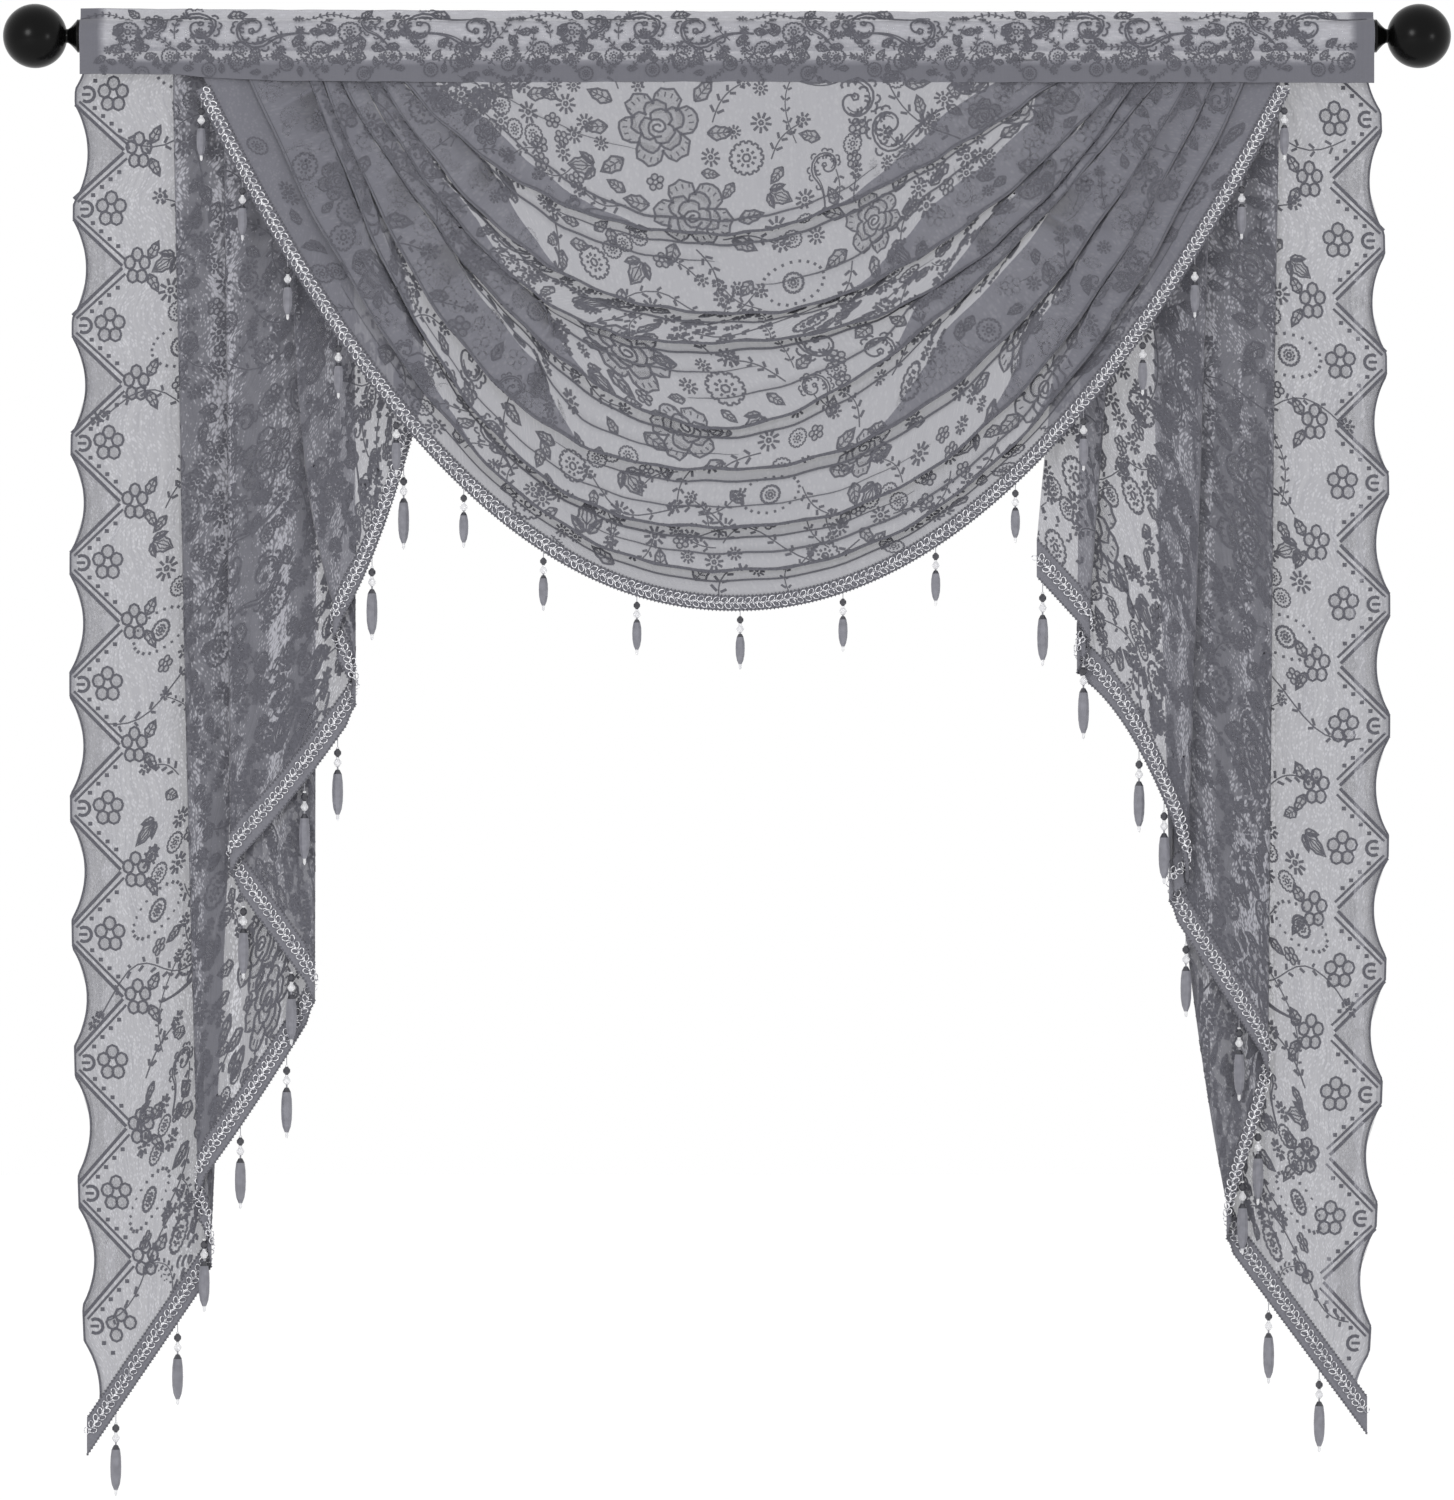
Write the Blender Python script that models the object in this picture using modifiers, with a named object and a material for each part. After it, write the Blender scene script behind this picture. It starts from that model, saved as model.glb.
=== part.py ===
# A sheer lace window valance, hung on a plain curtain rod with ball finials.
# The rod lies along X with its axis through the origin. +Z is up and the room is on the -Y side.
# A rod pocket (the header) carries one draped swag and, behind it, two pleated cascades.
# A beaded tape is sewn under the swag's edge and under each cascade's slanted hem.

import math
from collections import namedtuple

import bmesh
import bpy
from mathutils import Matrix, Vector

# Rod and finials, in metres
ROD_RADIUS = 0.014
ROD_HALF_LENGTH = 0.6013
BALL_RADIUS = 0.0298
BALL_CENTRE_X = 0.6434
NECK_RADIUS = 0.0065
COLLAR_RADIUS = 0.0153
COLLAR_LENGTH = 0.0112
FINIAL_STEPS = 20
BALL_STEPS = 11
PART_GAP = 0.0004            # clearance between two pieces that touch

# Rod pocket
HEADER_HALF_LENGTH = 0.601
POCKET_WALL = 0.0016
FLANGE_Y = -0.0090           # middle of the flat seam flange under the pocket, in front of the rod axis
FLANGE_TOP = -0.0215
POCKET_SIDES = 24
POCKET_TURN = range(100, 216, 23)    # degrees round the rod axis, from the heading down to the flange

# Cloth
CLOTH = 0.0010               # thickness of the swag and cascades
SEAM_TOP = -0.0232           # top edge of the swag and cascades, hidden behind the flange
TAPE = 0.0016                # thickness of the beaded tape

# Swag: pleats pressed flat at the seam open out as they fall
SWAG_SEAM_Y = -0.0063
SWAG_PITCH_SEAM = 0.0016     # distance between two layers at the seam
SWAG_PITCH_OPEN = 0.0080     # the same where the pleats hang open
SWAG_OPEN_DEPTH = 0.25       # fall over which they open
SWAG_LEAN_START = -0.046     # just under the seam flange
SWAG_LEAN = 0.022            # how far the bottom of the swag hangs forward
SWAG_LEAN_DEPTH = 0.20
SWAG_COLUMNS = 22
SWAG_COLUMN_REACH = 0.92     # nearer 1 packs the columns closer towards the steep ends
TURN_SHARE = 0.42            # most of a pleat's overlap that one round turn may take
SWAG_TAPE_WIDTH = 0.0115
SWAG_TAPE_GAP = 0.0005
SWAG_TAPE_TUCK = 0.001       # how far below the header the tape starts
SHARE_STEP = 0.001           # smallest step used along a swag curve
SWAG_DROPS = 17
SWAG_DROP_START = 0.012      # first bead drop, measured along the tape from its end
SWAG_DROP_SLIP = 0.0115      # share by which the drops spread apart at the swag's lowest stretch

# Cascades: seven panels folded back and forth, the innermost panel in front
CASCADE_FRONT_Y = -0.0004
CASCADE_PITCH_SEAM = 0.0016
CASCADE_PITCH_OPEN = 0.0080
CASCADE_OPEN_DEPTH = 0.30
CASCADE_ROWS = 10
CASCADE_ROW_POWER = 1.25     # above 1 packs the rows closer towards the seam
CASCADE_WAVE = 0.003         # soft upright flutes that every layer shares
CASCADE_WAVE_LENGTH = 0.145
CASCADE_TAPE_DROP = 0.040    # upright height of the tape under the slanted hem
CASCADE_TAPE_GAP = 0.0036
SCALLOP_DEPTH = 0.013
SCALLOP_RADIUS = 0.0868
SCALLOP_HALF_HEIGHT = 0.050
SCALLOP_STEPS = 8
SCALLOP_CUT_FRONT = -0.02    # the scallop cutters run from here ...
SCALLOP_CUT_DEPTH = 0.10     # ... this far back, through every layer

# The header's upper and lower edges, from its left end to its right end
HeaderStation = namedtuple("HeaderStation", "x top bottom")
HEADER_STATIONS = [
    HeaderStation(-0.601, 0.0260, -0.0360),
    HeaderStation(-0.515, 0.0252, -0.0365),
    HeaderStation(-0.487, 0.0250, -0.0392),
    HeaderStation(-0.420, 0.0246, -0.0425),
    HeaderStation(-0.210, 0.0238, -0.0440),
    HeaderStation(0.000, 0.0230, -0.0432),
    HeaderStation(0.210, 0.0228, -0.0440),
    HeaderStation(0.420, 0.0225, -0.0438),
    HeaderStation(0.601, 0.0222, -0.0446),
]

# One row for each pleat of the swag, top to bottom. The lip is the pleat's front edge and the tuck its
# hidden back edge. Both are curves from a left to a right place on the seam, lowest at x = low.
# A power near 2 is an even sag and a larger one a squarer sag.
Pleat = namedtuple("Pleat", "lip_left lip_right tuck_left tuck_right low lip_depth tuck_depth "
                            "left_power right_power")
PLEATS = [
    Pleat(-0.288, 0.284, -0.264, 0.262, 0.008, -0.189, -0.182, 2.10, 1.90),
    Pleat(-0.318, 0.318, -0.296, 0.293, 0.023, -0.263, -0.255, 2.30, 1.80),
    Pleat(-0.348, 0.357, -0.326, 0.327, -0.034, -0.289, -0.283, 2.50, 2.40),
    Pleat(-0.380, 0.400, -0.357, 0.366, 0.001, -0.370, -0.362, 2.80, 2.20),
    Pleat(-0.406, 0.434, -0.388, 0.409, -0.007, -0.461, -0.453, 2.20, 2.00),
    Pleat(-0.444, 0.476, -0.415, 0.443, -0.002, -0.501, -0.494, 2.35, 2.20),
]

# The swag's own upper and lower edges
SwagCurve = namedtuple("SwagCurve", "left right low depth left_power right_power")
SWAG_TOP = SwagCurve(-0.254, 0.252, 0.0, SEAM_TOP, 2.00, 2.00)
SWAG_EDGE = SwagCurve(-0.483, 0.524, 0.008, -0.523, 2.10, 2.05)

# One row for each upright fold line of a cascade, from its scalloped outer edge to its inner edge.
# tape_z is the tape's lower edge there, bend lets the line stay straight and then veer to its hem place,
# and hem_bow lifts the middle of the hem between this line and the next one.
FoldLine = namedtuple("FoldLine", "top_x hem_x tape_z bend hem_bow columns")
LEFT_FOLDS = [
    FoldLine(-0.607, -0.600, -1.326, 1.0, 0.000, 4),
    FoldLine(-0.448, -0.483, -1.148, 1.5, 0.000, 1),
    FoldLine(-0.516, -0.496, -1.079, 1.5, -0.006, 3),
    FoldLine(-0.383, -0.385, -0.899, 1.0, 0.000, 2),
    FoldLine(-0.469, -0.464, -0.778, 1.0, -0.008, 3),
    FoldLine(-0.348, -0.346, -0.622, 1.0, 0.000, 1),
    FoldLine(-0.380, -0.367, -0.560, 1.0, -0.030, 2),
    FoldLine(-0.276, -0.281, -0.330, 1.0, 0.000, 0),
]
RIGHT_FOLDS = [
    FoldLine(0.608, 0.600, -1.306, 1.0, 0.000, 4),
    FoldLine(0.399, 0.468, -1.122, 3.0, 0.000, 2),
    FoldLine(0.515, 0.507, -0.966, 1.0, 0.000, 3),
    FoldLine(0.401, 0.413, -0.805, 1.5, 0.000, 1),
    FoldLine(0.454, 0.431, -0.785, 1.0, 0.035, 3),
    FoldLine(0.333, 0.326, -0.592, 1.0, 0.000, 1),
    FoldLine(0.376, 0.338, -0.562, 1.0, 0.000, 2),
    FoldLine(0.301, 0.288, -0.503, 1.0, 0.000, 0),
]

# Scallops of the outer edges: the first tip's height, the step to the next and how the step grows
Scallops = namedtuple("Scallops", "side bow first step growth count")
LEFT_SCALLOPS = Scallops(-1, -0.013, -0.053, 0.1047, 0.00104, 12)
RIGHT_SCALLOPS = Scallops(1, 0.018, -0.076, 0.1118, 0.00026, 12)

# Bead drops on the cascades' tapes: the panel (1 is the outermost) and the place across it, 0 to 1
TapeDrop = namedtuple("TapeDrop", "panel across")
LEFT_DROPS = [
    TapeDrop(1, 0.24), TapeDrop(1, 0.75), TapeDrop(2, 0.50), TapeDrop(3, 0.36), TapeDrop(3, 0.78),
    TapeDrop(4, 0.25), TapeDrop(4, 0.88), TapeDrop(5, 0.60), TapeDrop(5, 0.88), TapeDrop(7, 0.40),
    TapeDrop(7, 0.76),
]
RIGHT_DROPS = [
    TapeDrop(1, 0.35), TapeDrop(1, 0.72), TapeDrop(2, 0.35), TapeDrop(2, 0.80), TapeDrop(3, 0.28),
    TapeDrop(3, 0.86), TapeDrop(5, 0.20), TapeDrop(5, 0.44), TapeDrop(6, 0.50), TapeDrop(7, 0.88),
]

# Bead drops, as radius and height below the tape: thread, dark bead, clear bead, long bead, end seed
DropRing = namedtuple("DropRing", "radius below")
SWAG_DROP = [
    DropRing(0.0006, -0.0030), DropRing(0.0006, 0.0050), DropRing(0.0033, 0.0085),
    DropRing(0.0008, 0.0122), DropRing(0.0036, 0.0165), DropRing(0.0010, 0.0205),
    DropRing(0.0044, 0.0280), DropRing(0.0044, 0.0420), DropRing(0.0012, 0.0500),
    DropRing(0.0012, 0.0545),
]
CASCADE_DROP = [
    DropRing(0.0006, -0.0030), DropRing(0.0006, 0.0090), DropRing(0.0038, 0.0135),
    DropRing(0.0009, 0.0185), DropRing(0.0036, 0.0235), DropRing(0.0010, 0.0290),
    DropRing(0.0053, 0.0400), DropRing(0.0053, 0.0600), DropRing(0.0012, 0.0725),
    DropRing(0.0012, 0.0770),
]
DROP_SIDES = 6


# ---- scene, materials and mesh helpers ----

for thing in list(bpy.data.objects):
    bpy.data.objects.remove(thing)

partCollection = bpy.data.collections.new("lace_swag_valance")
cutterCollection = bpy.data.collections.new("cutters")
bpy.context.scene.collection.children.link(partCollection)
bpy.context.scene.collection.children.link(cutterCollection)


def makeMaterial(name, colour, roughness, metallic):
    material = bpy.data.materials.new(name)
    material.use_nodes = True
    shader = material.node_tree.nodes["Principled BSDF"]
    shader.inputs["Base Color"].default_value = (*colour, 1)
    shader.inputs["Roughness"].default_value = roughness
    shader.inputs["Metallic"].default_value = metallic
    return material


def addObject(name, mesh, material=None, collection=partCollection):
    thing = bpy.data.objects.new(name, mesh)
    if material:
        mesh.materials.append(material)
    collection.objects.link(thing)
    return thing


def addCutter(name, mesh):
    cutter = addObject(name, mesh, collection=cutterCollection)
    cutter.hide_render = True
    cutter.display_type = "WIRE"
    return cutter


def addBoolean(thing, cutter, operation):
    boolean = thing.modifiers.new(operation.title(), "BOOLEAN")
    boolean.operation = operation
    boolean.solver = "EXACT"
    boolean.object = cutter


def blend(start, end, share):
    return start + (end - start) * share


# A sheet from rows of points: an open grid with Solidify to its thickness on both sides.
def sheetObject(name, rows, thickness, material):
    grid = bmesh.new()
    verts = [[grid.verts.new(point) for point in row] for row in rows]
    for upper, lower in zip(verts, verts[1:]):
        for column in range(len(upper) - 1):
            grid.faces.new((upper[column], lower[column], lower[column + 1], upper[column + 1]))
    mesh = bpy.data.meshes.new(name)
    grid.to_mesh(mesh)
    grid.free()
    sheet = addObject(name, mesh, material)
    solidify = sheet.modifiers.new("Solidify", "SOLIDIFY")
    solidify.thickness = thickness
    solidify.offset = 0
    solidify.use_even_offset = False
    return sheet


# A turned mesh about Z from (radius, height) points that run from the top to the bottom.
def turnedMesh(name, profile, steps):
    source = bpy.data.meshes.new(name)
    points = [(radius, 0, height) for radius, height in profile]
    source.from_pydata(points, [(i, i + 1) for i in range(len(points) - 1)], [])
    thing = addObject(name + "_profile", source)
    screw = thing.modifiers.new("Screw", "SCREW")
    screw.steps = screw.render_steps = steps
    screw.use_merge_vertices = True
    screw.merge_threshold = 0.00001
    depsgraph = bpy.context.evaluated_depsgraph_get()
    mesh = bpy.data.meshes.new_from_object(thing.evaluated_get(depsgraph))
    bpy.data.objects.remove(thing)
    return mesh


# ---- rod and finials ----

def makeRod(material):
    rod = bmesh.new()
    bmesh.ops.create_cone(rod, cap_ends=True, segments=32, radius1=ROD_RADIUS, radius2=ROD_RADIUS,
                          depth=2 * ROD_HALF_LENGTH, matrix=Matrix.Rotation(math.pi / 2, 4, "Y"))
    mesh = bpy.data.meshes.new("rod")
    rod.to_mesh(mesh)
    rod.free()
    thing = addObject("rod", mesh, material)
    mesh.shade_smooth()
    mesh.set_sharp_from_angle(angle=math.radians(40))
    return thing


# Ball, waist and flared collar, turned about Z with the collar's flat end at z = 0.
def finialProfile():
    centre = BALL_CENTRE_X - ROD_HALF_LENGTH - PART_GAP
    waist = math.asin(NECK_RADIUS / BALL_RADIUS)
    ball = [(BALL_RADIUS * math.sin(angle), centre + BALL_RADIUS * math.cos(angle))
            for angle in (blend(0, math.pi - waist, i / BALL_STEPS) for i in range(BALL_STEPS + 1))]
    collar = [(NECK_RADIUS, COLLAR_LENGTH), (COLLAR_RADIUS * 0.72, COLLAR_LENGTH * 0.45),
              (COLLAR_RADIUS, COLLAR_LENGTH * 0.25), (COLLAR_RADIUS, 0), (0, 0)]
    return ball + collar


def makeFinial(name, side, material):
    mesh = turnedMesh(name, finialProfile(), FINIAL_STEPS)
    finial = addObject(name, mesh, material)
    finial.location = (side * (ROD_HALF_LENGTH + PART_GAP), 0, 0)
    finial.rotation_euler = (0, side * math.pi / 2, 0)
    mesh.shade_smooth()
    mesh.set_sharp_from_angle(angle=math.radians(50))
    return finial


# ---- header: pocket round the rod, a small heading above it and a seam flange below ----

def headerSection(station):
    radius = ROD_RADIUS + PART_GAP + POCKET_WALL
    half = POCKET_WALL / 2
    turn = [math.radians(angle) for angle in POCKET_TURN]
    front = [(radius * math.cos(angle), radius * math.sin(angle)) for angle in turn]
    back = [(-y, z) for y, z in reversed(front)]
    heading = [(half, station.top), (-half, station.top)]
    flange = [(FLANGE_Y - half, FLANGE_TOP), (FLANGE_Y - half, station.bottom),
              (FLANGE_Y + half, station.bottom), (FLANGE_Y + half, FLANGE_TOP)]
    return [(station.x, y, z) for y, z in heading + front + flange + back]


def makeHeader(material):
    shell = bmesh.new()
    rings = [[shell.verts.new(point) for point in headerSection(station)] for station in HEADER_STATIONS]
    count = len(rings[0])
    for left, right in zip(rings, rings[1:]):
        for i in range(count):
            j = (i + 1) % count
            shell.faces.new((left[i], left[j], right[j], right[i]))
    shell.faces.new(list(reversed(rings[0])))
    shell.faces.new(rings[-1])
    bmesh.ops.recalc_face_normals(shell, faces=shell.faces)
    mesh = bpy.data.meshes.new("header")
    shell.to_mesh(mesh)
    shell.free()
    header = addObject("header", mesh, material)

    bore = bmesh.new()
    radius = ROD_RADIUS + PART_GAP
    bmesh.ops.create_cone(bore, cap_ends=True, segments=POCKET_SIDES, radius1=radius, radius2=radius,
                          depth=2.1 * HEADER_HALF_LENGTH, matrix=Matrix.Rotation(math.pi / 2, 4, "Y"))
    boreMesh = bpy.data.meshes.new("pocket_bore")
    bore.to_mesh(boreMesh)
    bore.free()
    addBoolean(header, addCutter("pocket_bore", boreMesh), "DIFFERENCE")
    return header


# ---- swag ----

def lipCurve(pleat):
    return SwagCurve(pleat.lip_left, pleat.lip_right, pleat.low, pleat.lip_depth,
                     pleat.left_power, pleat.right_power)


def tuckCurve(pleat):
    return SwagCurve(pleat.tuck_left, pleat.tuck_right, pleat.low, pleat.tuck_depth,
                     pleat.left_power, pleat.right_power)


# Place on a swag curve as (x, z). The share runs from -1 at the left seam to 1 at the right one.
def curvePlace(curve, share):
    reach, power = (curve.right - curve.low, curve.right_power)
    if share < 0:
        reach, power = (curve.low - curve.left, curve.left_power)
    fall = 1 - abs(share) ** power
    return Vector((curve.low + share * reach, blend(SEAM_TOP, curve.depth, fall)))


# Unit vector in the swag's plane, square to the curve and pointing up into the swag.
def curveInward(curve, share):
    if abs(share) > 1 - SHARE_STEP:
        return Vector((-math.copysign(1, share), 0))
    along = curvePlace(curve, share + SHARE_STEP) - curvePlace(curve, share - SHARE_STEP)
    along.normalize()
    return Vector((-along.y, along.x))


def swagPitch(z):
    open_share = min(1, (SEAM_TOP - z) / SWAG_OPEN_DEPTH)
    return blend(SWAG_PITCH_SEAM, SWAG_PITCH_OPEN, open_share)


# The swag's third coordinate: layer 0 is the front of a pleat and layer 2 its back.
def swagPoint(place, layer):
    fall = max(0, SWAG_LEAN_START - place.y)
    lean = SWAG_LEAN * (1 - math.exp(-fall / SWAG_LEAN_DEPTH))
    return (place.x, SWAG_SEAM_Y - lean + layer * swagPitch(place.y), place.y)


# Shares along every swag curve, closer together towards the steep ends.
def swagShares():
    limit = SWAG_COLUMN_REACH * math.pi / 2
    steps = [blend(-1, 1, i / SWAG_COLUMNS) for i in range(SWAG_COLUMNS + 1)]
    return [math.sin(limit * step) / math.sin(limit) for step in steps]


# One row of points along a curve. `turn` moves them inward (1) or outward (-1) to the start of a round
# turn, half a layer pitch deep or less where the pleat's own overlap is narrow.
def swagRow(curve, turn, layer, other=None):
    row = []
    for share in swagShares():
        place = curvePlace(curve, share)
        if turn:
            overlap = (curvePlace(other, share) - place).length
            depth = min(swagPitch(place.y) / 2, TURN_SHARE * overlap)
            place = place + curveInward(curve, share) * turn * depth
        row.append(swagPoint(place, layer))
    return row


def middleRow(first, second, share):
    return [tuple(blend(a, b, share) for a, b in zip(p, q)) for p, q in zip(first, second)]


def swagRows():
    rows = [swagRow(SWAG_TOP, 0, 0)]
    for pleat in PLEATS:
        lip, tuck = lipCurve(pleat), tuckCurve(pleat)
        rows.append(swagRow(tuck, 0, 0.1))       # front panel, where it passes the tuck behind it
        rows.append(swagRow(lip, 1, 0, tuck))    # round the lip
        rows.append(swagRow(lip, 0, 0.5))
        rows.append(swagRow(lip, 1, 1, tuck))
        rows.append(swagRow(tuck, -1, 1, lip))   # up the hidden return and round the tuck
        rows.append(swagRow(tuck, 0, 1.5))
        rows.append(swagRow(tuck, -1, 2, lip))
        rows.append(swagRow(lip, 0, 2))          # down again, out from behind the lip
    edge = swagRow(SWAG_EDGE, 0, 0)
    rows.append(middleRow(rows[-1], edge, 0.55))
    rows.append(edge)
    return rows


# Points along the swag's lower edge below the header, pushed out across the tape by `out`.
def swagTapePlace(share, out):
    place = curvePlace(SWAG_EDGE, share) - curveInward(SWAG_EDGE, share) * out
    x, y, z = swagPoint(place, 0)
    return Vector((x, y, z))


def swagTapeShares():
    highest = min(station.bottom for station in HEADER_STATIONS) - SWAG_TAPE_TUCK
    start = -1
    while curvePlace(SWAG_EDGE, start).y > highest:
        start += SHARE_STEP
    end = 1
    while curvePlace(SWAG_EDGE, end).y > highest:
        end -= SHARE_STEP
    inner = [share for share in swagShares() if start + 5 * SHARE_STEP < share < end - 5 * SHARE_STEP]
    return [start] + inner + [end]


# Drop places along the outer edge of the swag's tape, measured as lengths.
def swagDropPlaces():
    shares = swagTapeShares()
    samples = [blend(shares[0], shares[-1], i / 400) for i in range(401)]
    points = [swagTapePlace(share, SWAG_TAPE_GAP + SWAG_TAPE_WIDTH) for share in samples]
    lengths = [0]
    for before, after in zip(points, points[1:]):
        lengths.append(lengths[-1] + (after - before).length)
    run = lengths[-1] - 2 * SWAG_DROP_START
    places = []
    for i in range(SWAG_DROPS):
        share = i / (SWAG_DROPS - 1)
        wanted = SWAG_DROP_START + run * (share - SWAG_DROP_SLIP * math.sin(2 * math.pi * share))
        nearest = min(range(len(points)), key=lambda j: abs(lengths[j] - wanted))
        places.append(points[nearest])
    return places


# ---- cascades ----

def cascadePitch(z):
    open_share = min(1, (SEAM_TOP - z) / CASCADE_OPEN_DEPTH)
    return blend(CASCADE_PITCH_SEAM, CASCADE_PITCH_OPEN, open_share)


# Layer 0 is the front panel and layer 6 the outer one at the back.
def cascadeY(layer, x, z):
    open_share = min(1, (SEAM_TOP - z) / CASCADE_OPEN_DEPTH)
    wave = CASCADE_WAVE * (1 - math.cos(2 * math.pi * x / CASCADE_WAVE_LENGTH)) / 2
    return CASCADE_FRONT_Y + layer * cascadePitch(z) + open_share * wave


def foldX(fold, fall):
    return blend(fold.top_x, fold.hem_x, fall ** fold.bend)


# A column is one upright line of the folded cloth: its x and layer for any fall, and its tape height.
# side shifts it off the fold line by half the layer pitch, for the round turn.
Column = namedtuple("Column", "first second across side layer tape_z")


def cascadeColumns(folds):
    columns = []
    last = len(folds) - 1
    for i, (fold, following) in enumerate(zip(folds, folds[1:])):
        layer = last - 1 - i
        width = following.hem_x - fold.hem_x
        turn = 0.5 * math.copysign(1, width)
        turn_share = 0.5 * CASCADE_PITCH_OPEN / abs(width)
        start = (0, turn_share) if i else (0, 0)
        end = (1, 1 - turn_share) if i < last - 1 else (1, 1)
        between = [(j + 1) / (fold.columns + 1) for j in range(fold.columns)]
        for across, hem_share in [start] + [(share, share) for share in between] + [end]:
            side = 0 if across == hem_share else math.copysign(turn, turn * (0.5 - across))
            tape_z = panelTape(fold, following, hem_share)
            columns.append(Column(fold, following, across, side, layer, tape_z))
        if i < last - 1:
            columns.append(Column(fold, following, 1, 0, layer - 0.5, following.tape_z))
    return columns


# Height of the tape's lower edge at a place across a panel.
def panelTape(fold, following, across):
    return blend(fold.tape_z, following.tape_z, across) + fold.hem_bow * 4 * across * (1 - across)


def columnPoint(column, z, fall, outer_bow):
    x = blend(foldX(column.first, fall), foldX(column.second, fall), column.across)
    x += column.side * cascadePitch(z)
    if outer_bow:
        x += outer_bow * 4 * fall * (1 - fall) * (1 - column.across)
    return (x, cascadeY(column.layer, x, z), z)


def columnBow(column, folds, scallops):
    return scallops.bow if column.first is folds[0] else 0


def cascadeRows(folds, scallops):
    rows = []
    for i in range(CASCADE_ROWS + 1):
        fall = (i / CASCADE_ROWS) ** CASCADE_ROW_POWER
        row = []
        for column in cascadeColumns(folds):
            z = blend(SEAM_TOP, column.tape_z + CASCADE_TAPE_DROP, fall)
            row.append(columnPoint(column, z, fall, columnBow(column, folds, scallops)))
        rows.append(row)
    return rows


def cascadeTapeRows(folds):
    rows = []
    for height in (CASCADE_TAPE_DROP - CASCADE_TAPE_GAP, 0):
        row = [columnPoint(column, column.tape_z + height, 1, 0) for column in cascadeColumns(folds)]
        rows.append(row)
    return rows


def outerEdgeX(folds, scallops, z):
    hem = folds[0].tape_z + CASCADE_TAPE_DROP
    fall = min(1, max(0, (SEAM_TOP - z) / (SEAM_TOP - hem)))
    return foldX(folds[0], fall) + scallops.bow * 4 * fall * (1 - fall)


def scallopTip(scallops, i):
    return scallops.first - scallops.step * i - scallops.growth * i * i


# Shallow round bites between the flat tips of the outer edge, cut straight through along Y.
def scallopCutter(name, folds, scallops):
    bites = bmesh.new()
    reach = math.asin(SCALLOP_HALF_HEIGHT / SCALLOP_RADIUS)
    for i in range(scallops.count):
        middle = (scallopTip(scallops, i - 1) + scallopTip(scallops, i)) / 2
        centre = outerEdgeX(folds, scallops, middle) + scallops.side * (SCALLOP_RADIUS - SCALLOP_DEPTH)
        outline = []
        for j in range(SCALLOP_STEPS + 1):
            angle = blend(-reach, reach, j / SCALLOP_STEPS)
            x = centre - scallops.side * SCALLOP_RADIUS * math.cos(angle)
            z = middle + SCALLOP_RADIUS * math.sin(angle)
            outline.append(bites.verts.new((x, SCALLOP_CUT_FRONT, z)))
        face = bites.faces.new(outline)
        pushed = bmesh.ops.extrude_face_region(bites, geom=[face])
        moved = [item for item in pushed["geom"] if isinstance(item, bmesh.types.BMVert)]
        bmesh.ops.translate(bites, vec=(0, SCALLOP_CUT_DEPTH, 0), verts=moved)
    bmesh.ops.recalc_face_normals(bites, faces=bites.faces)
    mesh = bpy.data.meshes.new(name)
    bites.to_mesh(mesh)
    bites.free()
    return addCutter(name, mesh)


# Drops hang from the lower edge of the tape's flat stretches, so they follow its columns.
def cascadeDropPlaces(folds, drops):
    places = []
    for drop in drops:
        layer = len(folds) - 1 - drop.panel
        panel = [column for column in cascadeColumns(folds) if column.layer == layer]
        edge = [Vector(columnPoint(column, column.tape_z, 1, 0)) for column in panel]
        wanted = blend(edge[0].x, edge[-1].x, drop.across)
        for start, end in zip(edge, edge[1:]):
            if min(start.x, end.x) <= wanted <= max(start.x, end.x):
                places.append(start.lerp(end, (wanted - start.x) / (end.x - start.x)))
                break
    return places


# ---- bead drops and their tapes ----

def dropMesh(name, rings):
    profile = [(0, -rings[0].below)] + [(ring.radius, -ring.below) for ring in rings]
    profile.append((0, -rings[-1].below))
    return turnedMesh(name, profile, DROP_SIDES)


# Every drop's thread starts inside the tape, and a union makes tape and drops one solid.
def hangDrops(tape, places, rings):
    single = dropMesh(tape.name + "_drop", rings)
    gathered = bmesh.new()
    for place in places:
        before = len(gathered.verts)
        gathered.from_mesh(single)
        gathered.verts.ensure_lookup_table()
        bmesh.ops.translate(gathered, vec=place, verts=gathered.verts[before:])
    mesh = bpy.data.meshes.new(tape.name + "_drops")
    gathered.to_mesh(mesh)
    gathered.free()
    addBoolean(tape, addCutter(tape.name + "_drops", mesh), "UNION")


def makeSwag(material):
    return sheetObject("swag", swagRows(), CLOTH, material)


def makeSwagTape(material):
    shares = swagTapeShares()
    edges = (SWAG_TAPE_GAP, SWAG_TAPE_GAP + SWAG_TAPE_WIDTH)
    rows = [[swagTapePlace(share, out) for share in shares] for out in edges]
    tape = sheetObject("swag_beaded_trim", rows, TAPE, material)
    hangDrops(tape, swagDropPlaces(), SWAG_DROP)
    return tape


def makeCascade(name, folds, scallops, material):
    cascade = sheetObject(name, cascadeRows(folds, scallops), CLOTH, material)
    addBoolean(cascade, scallopCutter(name + "_scallops", folds, scallops), "DIFFERENCE")
    return cascade


def makeCascadeTape(name, folds, drops, material):
    tape = sheetObject(name, cascadeTapeRows(folds), TAPE, material)
    hangDrops(tape, cascadeDropPlaces(folds, drops), CASCADE_DROP)
    return tape


# ---- the whole valance ----

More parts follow.
